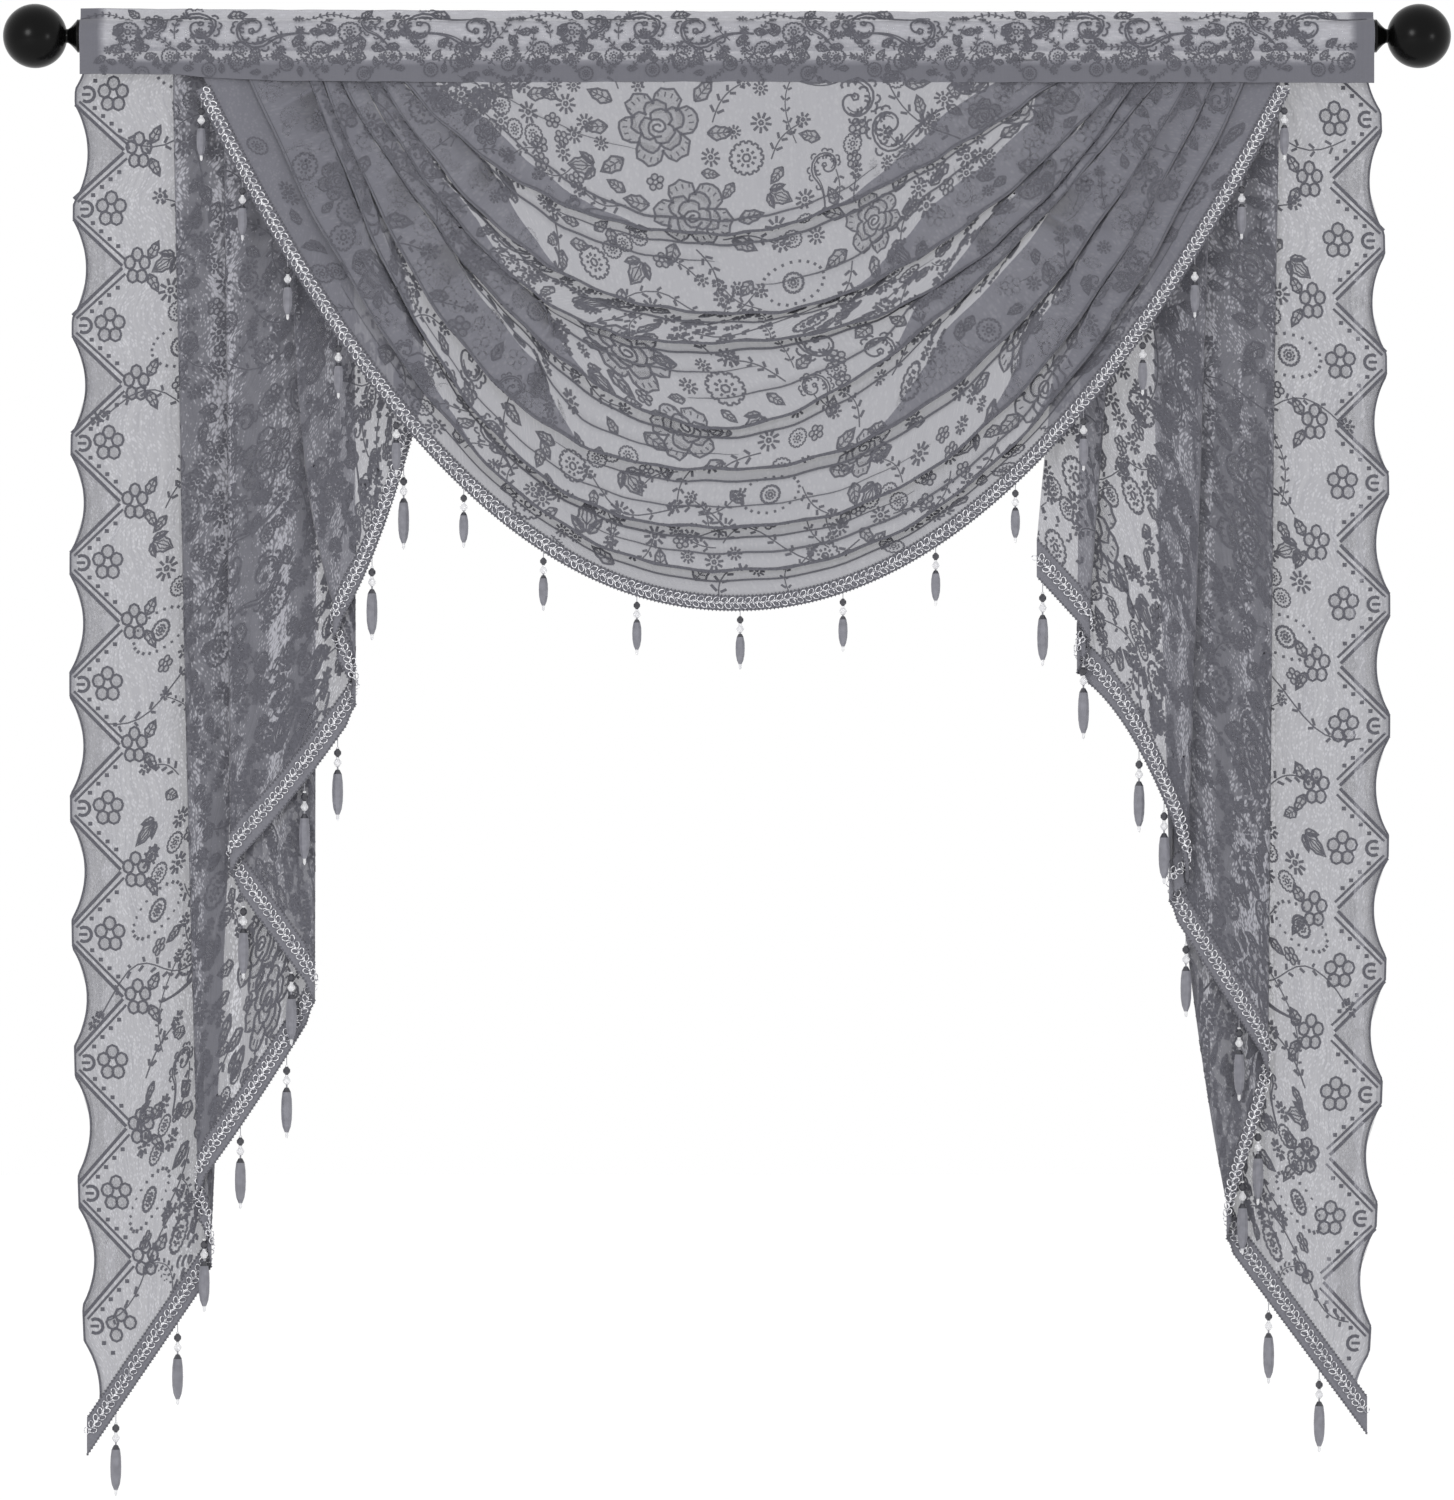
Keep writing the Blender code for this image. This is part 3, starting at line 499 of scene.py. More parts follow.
# Raschel-knitted polyester net, dyed silver grey: sheer and matt, with upright thread streaks and a
# light and dark speckle where lace lies over lace. Its real mesh is 1.2 mm; the threads are drawn
# 2.6 mm apart so that they show at all. A stack of folds is darker and speckled in upright bands.
def knittedNet(name, look, stack=None):
    material, tree, shader = newMaterial(name)
    flat = addNode(tree, "UVMap", {"uv_map": "flatCloth"}, {})
    fold = addNode(tree, "Attribute", {"attribute_name": "foldShade"}, {})

    def stretched(width, height):  # places on the flat cloth, counted in cells of this size
        scale = {"Vector": flat.outputs["UV"], "Scale": (1 / width, 1 / height, 1)}
        return addNode(tree, "Mapping", {}, scale).outputs["Vector"]

    threads, clouds = [addNode(tree, "TexNoise", {}, {
        "Vector": stretched(wide, tall), "Scale": 1.0, "Detail": detail, "Roughness": 0.6}).outputs["Fac"]
        for wide, tall, detail in ((netThread["step"], netThread["length"], 3.0),
                                   (netThread["cloudWide"], netThread["cloudTall"], 4.0))]
    cells = addNode(tree, "TexVoronoi", {}, {"Vector": stretched(*look.speckle), "Scale": 1.0})
    grain = addNode(tree, "TexNoise", {}, {
        "Vector": flat.outputs["UV"], "Scale": netThread["grain"], "Detail": 1.0})
    speckles, light, dark = netThread["speckles"], hexColour(look.light), hexColour(look.dark)
    if stack:
        hung = addNode(tree, "TexCoord", {}, {}).outputs["Object"]
        upright = addNode(tree, "Mapping", {}, {"Vector": hung, "Scale": stackLook["bandScale"]})
        bands = addNode(tree, "TexNoise", {}, {
            "Vector": upright.outputs["Vector"], "Scale": 1.0, "Detail": 1.0})
        hungX = addNode(tree, "SeparateXYZ", {}, {"Vector": hung})
        aside = addNode(tree, "Math", {"operation": "ABSOLUTE"}, {0: hungX.outputs["X"]})
        inside = addNode(tree, "Math", {"operation": "COMPARE"}, {
            0: aside.outputs[0], 1: (stack[0] + stack[1]) / 2, 2: (stack[1] - stack[0]) / 2}).outputs[0]
        banded = addNode(tree, "Math", {"operation": "MULTIPLY_ADD"}, {
            0: bands.outputs["Fac"], 1: stackLook["bands"], 2: -stackLook["bands"] / 2})
        speckles = addNode(tree, "Math", {"operation": "MULTIPLY_ADD"}, {
            0: banded.outputs[0], 1: inside, 2: speckles}).outputs[0]
        light, dark = [addNode(tree, "Mix", {"data_type": "RGBA"}, {
            "Factor": inside, 6: plain, 7: hexColour(stackLook[tone])}).outputs[2]
            for plain, tone in ((light, "light"), (dark, "dark"))]
    sparse = addNode(tree, "Math", {"operation": "MULTIPLY_ADD"}, {
        0: clouds, 1: netThread["cloudShare"], 2: speckles})
    gaps = addNode(tree, "Math", {"operation": "SUBTRACT"}, {
        0: sparse.outputs[0], 1: cells.outputs["Distance"]})
    patchy = addNode(tree, "MapRange", {}, {"Value": gaps.outputs[0], "From Min": netThread["speckleFrom"],
                                            "From Max": netThread["speckleTo"]})
    cover = look.cover - look.streak / 2 - netThread["grainCover"] / 2
    for field, share in ((threads, look.streak), (grain.outputs["Fac"], netThread["grainCover"]),
                         (fold.outputs["Fac"], look.foldCover)):
        cover = addNode(tree, "Math", {"operation": "MULTIPLY_ADD", "use_clamp": True}, {
            0: field, 1: share, 2: cover}).outputs[0]
    ground = addNode(tree, "Mix", {"data_type": "RGBA"}, {
        "Factor": patchy.outputs["Result"], 6: dark, 7: light})
    # Toward the fold colour where foldShade is high: painted shade along turns and creases, on top of the
    # closer cover of doubled lace and of lace seen edge on.
    colour = addNode(tree, "Mix", {"data_type": "RGBA"}, {
        "Factor": fold.outputs["Fac"], 6: ground.outputs[2], 7: hexColour(look.fold)})
    bump = addNode(tree, "Bump", {}, {"Height": threads, "Strength": 0.25, "Distance": 0.0006})
    setInputs(tree, shader, {
        "Base Color": colour.outputs[2], "Alpha": cover, "Normal": bump.outputs["Normal"],
        "Roughness": 0.85, "Sheen Weight": 0.15, "Specular IOR Level": 0.2})
    return material


coverWander = 0.3  # how far the noise thins and thickens a yarn's cover


# The other finishes: the colour wanders between two codes with a fine noise, or is even where there is
# one. The noise may be sharpened, may raise the surface, thin its cover or change its gloss.
def finish(name, codes, scale, detail, sockets, sharp=None, relief=None, cover=None, gloss=None):
    material, tree, shader = newMaterial(name)
    place = addNode(tree, "NewGeometry", {}, {})
    grain = addNode(tree, "TexNoise", {}, {
        "Vector": place.outputs["Position"], "Scale": scale, "Detail": detail}).outputs["Fac"]
    sockets["Base Color"] = hexColour(codes[0])
    if len(codes) == 2:
        share = grain
        if sharp:
            share = addNode(tree, "MapRange", {}, {
                "Value": grain, "From Min": sharp[0], "From Max": sharp[1]}).outputs["Result"]
        sockets["Base Color"] = addNode(tree, "Mix", {"data_type": "RGBA"}, {
            "Factor": share, 6: hexColour(codes[0]), 7: hexColour(codes[1])}).outputs[2]
    if relief:
        sockets["Normal"] = addNode(tree, "Bump", {}, {
            "Height": grain, "Strength": relief[0], "Distance": relief[1]}).outputs["Normal"]
    if cover:
        sockets["Alpha"] = addNode(tree, "Math", {"operation": "MULTIPLY_ADD", "use_clamp": True}, {
            0: grain, 1: coverWander, 2: cover - coverWander / 2}).outputs[0]
    if gloss:
        sockets["Roughness"] = addNode(tree, "MapRange", {}, {
            "Value": grain, "To Min": gloss[0], "To Max": gloss[1]}).outputs["Result"]
    setInputs(tree, shader, sockets)
    return material


swagCloth, swagFoldLines, swagLipRows = makeSwagCloth()
swagNet = knittedNet("polyester net knitted swag", netLooks["swag"])
swagPiece = clothPiece("swag_net", swagCloth, swagNet, ["swag"])
cascadeCloths, cascadePieces = [], []
for cascade in cascades:
    netName = "polyester net knitted " + cascade.side + " cascade"
    net = knittedNet(netName, netLooks["cascade"], cascade.stack)
    cloth = makeCascadeCloth(cascade.folds, cascade.scallops)
    cascadeCloths.append(cloth)
    name = cascade.name
    cascadePieces.append(clothPiece(name + "_net", cloth, net, [name]))
print("cloth made")


# Lace figures: flat line drawings in millimetres, knitted in thicker yarn, then laid along the cloth

Stroke = namedtuple("Stroke", "points width filled")
yarn = {"line": 1.95, "fine": 1.15, "dash": 2.2, "border": 2.2, "longestRun": 6.6, "lift": 0.0004}


def arc(x, y, radius, start, end, steps=10, squash=1.0):
    angles = np.radians(np.linspace(start, end, steps + 1))
    return np.stack([x + radius * np.cos(angles), y + radius * squash * np.sin(angles)], axis=1)


def line(points, width=yarn["line"]):
    return Stroke(np.array(points, dtype=float), width, False)


def patch(points):
    return Stroke(np.array(points, dtype=float), 0, True)


def dash(x, y, turn, start, end, width=yarn["dash"]):  # a short stroke pointing away from a place
    c, s = math.cos(math.radians(turn)), math.sin(math.radians(turn))
    return line([(x + start * c, y + start * s), (x + end * c, y + end * s)], width)


def posed(strokes, x, y, turn=0, size=1.0, mirror=False):
    c, s = math.cos(math.radians(turn)) * size, math.sin(math.radians(turn)) * size
    flip = (-1, 1) if mirror else (1, 1)
    turned = np.array([[c, s], [-s, c]])
    return [Stroke(stroke.points @ turned * flip + (x, y), stroke.width * size ** 0.6, stroke.filled)
            for stroke in strokes]


def leaf(length=20, breadth=10, veins=4):
    t = np.linspace(0, 1, 7)
    half = breadth / 2 * np.sin(math.pi * t ** 0.75) * (1 + 0.12 * (-1) ** np.arange(7))
    outline = np.concatenate([np.stack([t * length, half], 1), np.stack([t * length, -half], 1)[-2::-1]])
    strokes = [patch(outline[:-1]), line(outline), line([(0, 0), (length * 0.9, 0)], yarn["fine"])]
    for k in range(veins):
        foot = length * (k + 0.6) / (veins + 0.6)
        reach = 0.85 * breadth / 2 * math.sin(math.pi * (foot / length) ** 0.75)
        strokes += [dash(foot, 0, side * 48, 0.8, reach, yarn["fine"]) for side in (-1, 1)]
    return strokes


def petalRing(radius, count, inner, outer, turn, hatches):
    strokes = []
    spread = np.linspace(-1, 1, 8)
    for k in range(count):
        middle = 360 * k / count + turn
        angles = np.radians(middle + spread * 180 / count * 1.08)
        ruffle = 1 + 0.035 * np.cos(spread * 10 + k)
        reach = radius * (inner + (outer - inner) * (1 - np.abs(spread) ** 3)) * ruffle
        edge = np.stack([reach * np.cos(angles), reach * np.sin(angles)], axis=1)
        strokes += [line(edge), patch(edge)]
        for place in np.linspace(-0.6, 0.6, hatches):
            ends = [radius * blend(inner, outer, share) for share in (0.45, 0.80 - 0.2 * abs(place))]
            strokes.append(dash(0, 0, middle + place * 180 / count, *ends, yarn["fine"]))
    return strokes


def rose(radius=30):
    t = np.linspace(0, 1, 20)
    angle = 2 * math.pi * 1.8 * t
    reach = radius * (0.05 + 0.25 * t) * (1 + 0.09 * np.sin(2.5 * angle))
    strokes = [line(np.stack([reach * np.cos(angle), 0.85 * reach * np.sin(angle)], axis=1))]
    for ring in ((3, 0.26, 0.46, 70, 0), (5, 0.42, 0.68, 25, 0), (6, 0.60, 1.0, 10, 4)):
        strokes += petalRing(radius, *ring)
    return strokes


def bud(length=24, breadth=14):
    strokes = leaf(length, breadth, 0)
    strokes.append(line(strokes[1].points * (0.7, 0.5) + (length * 0.2, 0), yarn["fine"]))
    for side in (-1, 1):
        strokes += posed(leaf(length * 0.62, 6, 1), -1, side * 2, side * 40)
    return strokes


def daisy(radius=8, petals=9):
    strokes = [dash(0, 0, 360 * k / petals, radius * 0.42, radius) for k in range(petals)]
    return strokes + [line(arc(0, 0, radius * 0.2, 0, 360, 5))]


def zinnia(radius=14):
    strokes = [line(arc(0, 0, radius * 0.22, 0, 360, 6))]
    strokes += [dash(0, 0, 40 * k, radius * 0.36, radius * 0.55) for k in range(9)]
    for k in range(14):
        middle = 360 * k / 14
        x, y = (0.8 * radius * f(math.radians(middle)) for f in (math.cos, math.sin))
        strokes.append(line(arc(x, y, radius * 0.17, middle - 100, middle + 100, 3)))
    return strokes


def blossom(petal=4.6, reach=7.6, petals=5, squash=1.0):
    strokes = []
    for k in range(petals):
        angle = math.radians(90 + 360 * k / petals)
        x, y = reach * math.cos(angle), reach * squash * math.sin(angle)
        ring = arc(x, y, petal, 0, 360, 8, squash ** 0.5)
        strokes += [patch(ring[:-1]), line(ring, yarn["border"])]
    return strokes


# A stem with small leaves in pairs along it. The bends say how far it swings to either side.
def vine(length=90, pairs=8, swing=16, waves=1.0, curl=0.0):
    t = np.linspace(0, 1, 14)
    x = t * length - length / 2
    stem = np.stack([x, swing * np.sin(waves * math.pi * t) + curl * t ** 3], axis=1)
    strokes = [line(stem, yarn["fine"])]
    for k in range(pairs):
        place = (k + 0.7) / pairs
        foot = [float(np.interp(place, t, stem[:, axis])) for axis in (0, 1)]
        ahead = [float(np.interp(place + 0.02, t, stem[:, axis])) for axis in (0, 1)]
        slope = math.degrees(math.atan2(ahead[1] - foot[1], ahead[0] - foot[0]))
        strokes += [dash(*foot, slope + side * 46, 1.6, 7.2 - 2 * place) for side in (-1, 1)]
    return strokes + posed(daisy(6, 7), stem[-1][0] + 4, stem[-1][1])


def sprig():
    return vine(34, 4, 5, 0.9)


def tendril():
    return vine(120, 9, 13, 2.0, 8)


# An open acanthus scroll: a double curling spine with lobes outside and comma leaves within
def scroll(radius=22, lobes=8):
    t = np.linspace(0, 1, 20)
    angle = 2 * math.pi * (0.1 + 1.2 * t)
    reach = radius * (0.16 + 0.84 * t ** 1.1)
    curl = np.stack([reach * np.cos(angle), reach * np.sin(angle)], axis=1)
    heading = curl[-1] - curl[-2]
    heading /= np.linalg.norm(heading)
    side = np.array([heading[1], -heading[0]])
    u = np.linspace(0.15, 1, 7)[:, None]
    spine = np.concatenate([curl, curl[-1] + radius * (1.6 * u * heading + 0.7 * u ** 2 * side)])
    away = np.linalg.norm(spine, axis=1, keepdims=True)
    strokes = [line(spine), line((spine * (1 - 3.2 / np.maximum(away, 7)))[7:], yarn["fine"])]
    strokes.append(line(arc(curl[0][0], curl[0][1], radius * 0.13, 0, 360, 5)))
    for k in range(lobes):
        place = 9 + int(13 * k / lobes)
        out = spine[place] / away[place]
        middle = math.degrees(math.atan2(out[1], out[0]))
        x, y = spine[place] + out * radius * 0.08
        strokes.append(line(arc(x, y, radius * 0.17, middle - 95, middle + 80, 4)))
        if place < 19:
            x, y = spine[place] * 0.62
            strokes.append(line(arc(x, y, radius * 0.16, middle - 60, middle + 110, 4), yarn["dash"]))
    return strokes


def dottedRing(across=23, tall=15, dots=22):
    strokes = posed(zinnia(8), 0, 0)
    for k in range(dots):
        angle = 360 * k / dots
        x, y = across * math.cos(math.radians(angle)), tall * math.sin(math.radians(angle))
        strokes.append(dash(x, y, angle, -1.1, 1.1))
    return strokes


# The figures of one lace repeat, in millimetres from its middle, y up. Each is drawn in the turn given
# in degrees and scaled by size.
Figure = namedtuple("Figure", "kind x y turn size")
laceRepeat = {"width": 312, "height": 236, "drop": 0.5, "scale": 1.25, "crowded": 0.75, "thinning": 0.25,
              "tries": 1600, "gap": 4, "fillerReach": 8, "otherReach": 13, "turnWander": 8,
              "smallest": 0.94, "largest": 1.06}
laceFigures = [Figure(*row) for row in (
    (rose, -66, 46, 0, 1.0), (rose, -44, -22, 40, 0.95), (zinnia, -2, 22, 0, 1.0),
    (leaf, -100, 62, 160, 1.0), (leaf, -104, 40, 190, 0.9), (leaf, -94, 16, 220, 1.1),
    (leaf, -76, -14, 180, 1.1), (leaf, -76, -34, 215, 1.1), (leaf, -60, -52, 250, 1.0),
    (leaf, -38, 66, 50, 1.0), (leaf, -30, 42, 5, 1.0), (leaf, -10, -24, 15, 1.0),
    (leaf, -16, -46, -40, 1.0), (leaf, -60, 80, 100, 0.9), (leaf, -36, 12, -5, 0.7),
    (bud, -118, 90, 120, 1.0), (bud, -118, 2, 200, 0.9), (bud, -88, -70, 235, 0.9),
    (bud, 14, -6, -30, 0.8), (sprig, -92, 92, 100, 1.0), (sprig, -14, 64, 50, 1.1),
    (sprig, -4, -50, -20, 1.1), (sprig, -112, -22, 190, 1.0), (sprig, -40, -72, 290, 1.0),
    (sprig, 28, 30, 35, 1.0), (daisy, -136, 50, 10, 1.0), (daisy, -138, -38, 0, 1.0),
    (daisy, 10, 48, 20, 1.0), (daisy, 18, -34, 0, 1.1), (daisy, -88, -104, 15, 1.0),
    (daisy, -62, 108, 0, 1.0), (daisy, -20, 92, 0, 0.9), (zinnia, -128, -82, 0, 0.9),
    (tendril, -60, -100, 10, 0.9), (tendril, 30, 104, 170, 1.0), (vine, 136, 20, 100, 1.0),
    (vine, 40, 62, 70, 0.7), (scroll, 80, 50, 20, 1.0), (scroll, 112, 6, 200, 0.85),
    (scroll, 58, 2, 110, 0.6), (leaf, 96, 80, 40, 0.9), (leaf, 120, 48, -20, 0.9),
    (leaf, 54, 26, 150, 0.8), (zinnia, 62, 88, 0, 0.8), (daisy, 132, 76, 0, 1.0),
    (daisy, 108, 104, 0, 0.9), (blossom, 84, 22, 0, 0.6), (daisy, 40, -18, 0, 0.9),
    (rose, 92, -66, 25, 0.72), (leaf, 112, -52, 40, 1.0), (leaf, 116, -76, -15, 1.0),
    (leaf, 70, -50, 140, 1.0), (leaf, 66, -74, 200, 1.0), (leaf, 86, -90, 260, 0.9),
    (bud, 104, -98, 300, 0.8), (sprig, 58, -94, 220, 1.0), (sprig, 84, -34, 80, 0.9),
    (dottedRing, 22, -84, 0, 1.0), (zinnia, 142, -46, 0, 0.9), (daisy, 142, -94, 0, 1.0),
    (daisy, 46, -56, 0, 0.9), (sprig, 130, -22, 120, 0.9), (daisy, -8, -108, 0, 1.0),
)]


# Small flowers and leaves in the gaps between those figures, at seeded places that keep clear of them
figureReach = {rose: 34, scroll: 27, dottedRing: 24, zinnia: 16, vine: 24, tendril: 24, sprig: 15}
fillers = ((daisy, 0.85), (leaf, 0.7), (sprig, 0.85), (blossom, 0.5), (daisy, 0.7), (leaf, 0.8),
           (zinnia, 0.55))


def fillGaps(figures, seed):
    chance = random.Random(seed)
    other = laceRepeat["otherReach"]
    taken = [(figure.x, figure.y, figureReach.get(figure.kind, other) * figure.size) for figure in figures]
    added = []
    for _ in range(laceRepeat["tries"]):
        x, y = (chance.uniform(-0.5, 0.5) * laceRepeat[side] for side in ("width", "height"))
        if all(math.hypot(x - place[0], y - place[1]) > place[2] + laceRepeat["gap"] for place in taken):
            kind, size = fillers[len(added) % len(fillers)]
            added.append(Figure(kind, x, y, chance.uniform(0, 360), size))
            taken.append((x, y, laceRepeat["fillerReach"]))
    return added


laceFigures += fillGaps(laceFigures, 3)


# Gathers strokes as ribbons and patches just off a cloth's face, or off both faces for the border.
class FigureMesh:
    def __init__(self):
        self.points, self.lines, self.patches = [], [], []

    def add(self, stroke, places, normals, bothFaces=False, faint=False):
        count = len(places)
        if count < 2:
            return
        facing = np.clip(-6 * normals[:, 1:2], -1, 1)  # 1 to the front, -1 to the back, 0 on edge
        lift = normals * facing * yarn["lift"]
        if stroke.filled:
            rim = np.concatenate([places, places.mean(axis=0, keepdims=True)])
            base = len(self.points)
            self.patches += [(base + i, base + (i + 1) % count, base + count) for i in range(count)]
            self.points.extend(rim + 0.5 * np.concatenate([lift, lift.mean(axis=0, keepdims=True)]))
            return
        halfWidth = np.reshape(stroke.width, (-1, 1)) / 2000
        sideways = unit(np.cross(np.gradient(places, axis=0), normals)) * halfWidth
        for side in (1, -1) if bothFaces else (1,):
            base = len(self.points)
            middle = places + side * lift
            self.points.extend(np.stack([middle - sideways, middle + sideways], axis=1).reshape(-1, 3))
            group = self.patches if faint else self.lines
            group += [(base + 2 * i, base + 2 * i + 1, base + 2 * i + 3, base + 2 * i + 2)
                      for i in range(count - 1)]


# Extra points along a stroke's long straight runs, so that it follows the folds.
def refined(points, filled):
    if filled:
        return points
    result = [points[0]]
    for start, end in zip(points, points[1:]):
        steps = max(1, math.ceil(np.linalg.norm(end - start) / yarn["longestRun"]))
        result += [blend(start, end, i / steps) for i in range(1, steps + 1)]
    return np.array(result)


# Draws strokes on the cloth round a place given as a row and a column. A stroke that leaves the cloth
# is left out there.
def drawOn(mesh, cloth, strokes, row, column, bothFaces=False, faint=False):
    parts = [refined(stroke.points, stroke.filled) for stroke in strokes]
    flat = np.concatenate(parts) / 1000
    rows, columns, inside = walk(cloth, row, column, flat[:, 0], -flat[:, 1])
    places, normals = clothPlaces(cloth, rows, columns)
    first = 0
    for stroke, part in zip(strokes, parts):
        span = slice(first, first + len(part))
        first += len(part)
        if not inside[span].all():
            if stroke.filled:
                continue
            kept = np.flatnonzero(inside[span])
            if len(kept) < 2 or kept[-1] - kept[0] + 1 != len(kept):
                continue
            span = slice(span.start + kept[0], span.start + kept[-1] + 1)
        mesh.add(stroke, places[span], normals[span], bothFaces, faint)


# Lays the lace repeat over a whole cloth, in half-dropped rows.
def drawRepeats(mesh, cloth, shift, seed, innermost=0.0):
    chance = random.Random(seed)
    across = cloth.across - cloth.across[:, [cloth.anchor]]
    middle = cloth.down[:, cloth.anchor]
    rowCount, columnCount = across.shape
    scale = laceRepeat["scale"]
    wide, tall = (laceRepeat[side] * scale / 1000 for side in ("width", "height"))
    for i in range(-1, int(middle[-1] / tall) + 2):
        for j in range(-6, 7):
            dropped = (i + (laceRepeat["drop"] if j % 2 else 0)) * tall + shift[1]
            for figure in laceFigures:
                x = (j + 0.5) * wide + shift[0] + figure.x * scale / 1000
                y = dropped - figure.y * scale / 1000
                if not middle[0] < y < middle[-1]:
                    continue
                row = float(np.interp(y, middle, range(rowCount)))
                reach = across[int(row)]
                if abs(x) < innermost or not reach[0] < x < reach[-1]:
                    continue
                column = float(np.interp(x, reach, range(columnCount)))
                crowding = cloth.down[-1, int(column)] / middle[-1]
                if crowding < laceRepeat["crowded"] and chance.random() > crowding + laceRepeat["thinning"]:
                    continue
                turn = figure.turn + chance.uniform(-laceRepeat["turnWander"], laceRepeat["turnWander"])
                size = figure.size * scale * chance.uniform(laceRepeat["smallest"], laceRepeat["largest"])
                drawOn(mesh, cloth, posed(figure.kind(), 0, 0, turn, size, (i + j) % 2 == 1), row, column)


# Lace on the swag's broad overlaps: a third of the figures are the front layer's own, and the others
# belong to the layers behind it and show faintly through.
overlapLace = {"step": 0.021, "size": 0.95, "frontShare": 0.3, "bigScale": 0.6,
               "kinds": (leaf, daisy, scroll, sprig, zinnia, leaf, rose, blossom)}


def drawOverlaps(mesh, cloth, lipRows, seed):
    chance = random.Random(seed)
    for lip in lipRows:
        reach = cloth.across[lip - 1]
        for place in np.arange(reach[0], reach[-1], overlapLace["step"]):
            column = float(np.interp(place, reach, range(len(reach))))
            depth = cloth.down[lip, int(column)] - cloth.down[lip - 1, int(column)]
            count = round(depth / overlapLace["step"])
            for k in range(count):
                kind = chance.choice(overlapLace["kinds"])
                shrink = overlapLace["bigScale"] if kind in (rose, scroll) else 1
                size = overlapLace["size"] * chance.uniform(0.7, 1.1) * shrink
                faint = chance.random() > overlapLace["frontShare"]
                strokes = posed(kind(), 0, 0, chance.uniform(0, 360), size)
                strokes = [stroke for stroke in strokes if not (faint and stroke.filled)]
                row = lip - 1 + (k + chance.uniform(0.2, 0.8)) / count
                drawOn(mesh, cloth, strokes, row, column + chance.uniform(-1, 1), False, faint)


# The figures' yarn: the same polyester laid in thick loops, so the net closes up and reads darker. The
# filling is one thin yarn laid to and fro: a light veil over the net inside the outlines.
figureYarn, figureFill = [
    finish("polyester yarn inlaid " + part, codes, 420.0, 2.0, {"Roughness": 0.8, "Specular IOR Level": 0.25},
           relief=(0.4, 0.0005), cover=cover)
    for part, codes, cover in (("outline", ("#4A4A51", "#5E5E65"), 0.96),
                               ("filling", ("#58585F", "#68686F"), 0.20))]


def outerPlace(folds, scallops, inward, z):  # on a cascade's outer panel, in from its straight edge
    x = outerEdgeX(folds, scallops, z) - scallops.side * inward
    layer = len(folds) - 2
    return np.stack([x, cascadeY(layer, x, z), z], axis=1)


# The toothed border, in millimetres: a tip is flat for `tip` to each side of its middle, and two zigzag
# lines run in from it to the peaks between the tips. The net is close-knitted between zigzag and edge.
border = {"tip": 9.5, "outerPeak": 47, "innerPeak": 50, "outerLine": 3.0, "innerLine": 2.2, "edgeLine": 1.7,
          "closeStart": 1.2, "closeDepth": 44.8, "edgeIn": 0.9, "clearHem": 2, "clearFold": 3}


# One tooth of the border: x runs in from the tip, y up.
def borderTooth(half, flower):
    strokes = []
    for side in (-1, 1):
        outer = [(0.8, side * border["tip"]), (border["outerPeak"], side * (half - 1.5))]
        inner = [(4.5, side * (border["tip"] - 3)), (border["innerPeak"], side * (half - 7))]
        strokes += [line(outer, border["outerLine"]), line(inner, border["innerLine"])]
        for x, inset in ((19, 6.5), (27, 6.0), (35, 6.0), (43, 6.5)):
            height = float(np.interp(x, [place[0] for place in inner], [abs(place[1]) for place in inner]))
            strokes.append(dash(x, side * (height - inset), 0, -1.9, 1.9, 3.6))
        strokes += posed(leaf(19, 8.5, 3), flower + 36, half + side * 7, side * 62)
    hook = flower * 0.33
    strokes += [line(arc(hook, 0, 6.8, -125, 125, 9), border["outerLine"]),
                line([(hook - 5, 0), (hook + 3, 0)], 2.6)]
    strokes += posed(blossom(5.6, 8.7, 5, 1.2), flower, 0)
    strokes += posed(blossom(4.9, 7.2, 5, 1.55), flower + 25, half)
    return strokes


def drawBorder(mesh, folds, scallops):
    seam, step = cascadeShape["seamTop"], 0.004
    lowest = folds[0].tapeZ + cascadeShape["tapeDrop"] + step
    width = abs(foldX(folds[0], 1) - foldX(folds[1], 1))

    def lay(stroke, inward, z, bothFaces=True):
        places = outerPlace(folds, scallops, inward, z)
        mesh.add(stroke, places, np.tile((0.0, -1.0, 0.0), (len(places), 1)), bothFaces)

    def bites(heights):
        return np.array([scallopBite(folds, scallops, z) for z in heights])

    for i in range(-1, scallops.count):
        tip = scallopTip(scallops, i)
        half = (tip - scallopTip(scallops, i + 1)) * 500
        for stroke in borderTooth(half, scallops.flower):
            inward, up = refined(stroke.points, stroke.filled).T / 1000
            z = tip + up
            hem = panelTape(folds[0], folds[1], np.minimum(1, inward / width)) + cascadeShape["tapeDrop"]
            clear = (z > hem + border["clearHem"] / 1000) & (inward < width - border["clearFold"] / 1000)
            if (clear & (z < seam)).all():
                lay(stroke, inward, z)
        between = np.linspace(-border["tip"], border["tip"] - 2 * half, 13) / 1000
        z = tip + between
        if z[0] < seam and z[-1] > lowest + 5 * step:
            outer = bites(z) + 0.002
            rise = 1 - np.abs(between * 1000 + half) / (half - border["tip"])
            close = border["closeStart"] / 1000 + border["closeDepth"] / 1000 * rise
            inward = np.concatenate([outer, np.maximum(close, outer)[::-1]])
            lay(Stroke(None, 0, True), inward, np.concatenate([z, z[::-1]]), False)
    heights = np.arange(seam, lowest, -step)
    lay(Stroke(None, border["edgeLine"], False), bites(heights) + border["edgeIn"] / 1000, heights)


def figurePiece(name, mesh):
    return makePiece(name, mesh.points, [mesh.lines, mesh.patches], [figureYarn, figureFill])


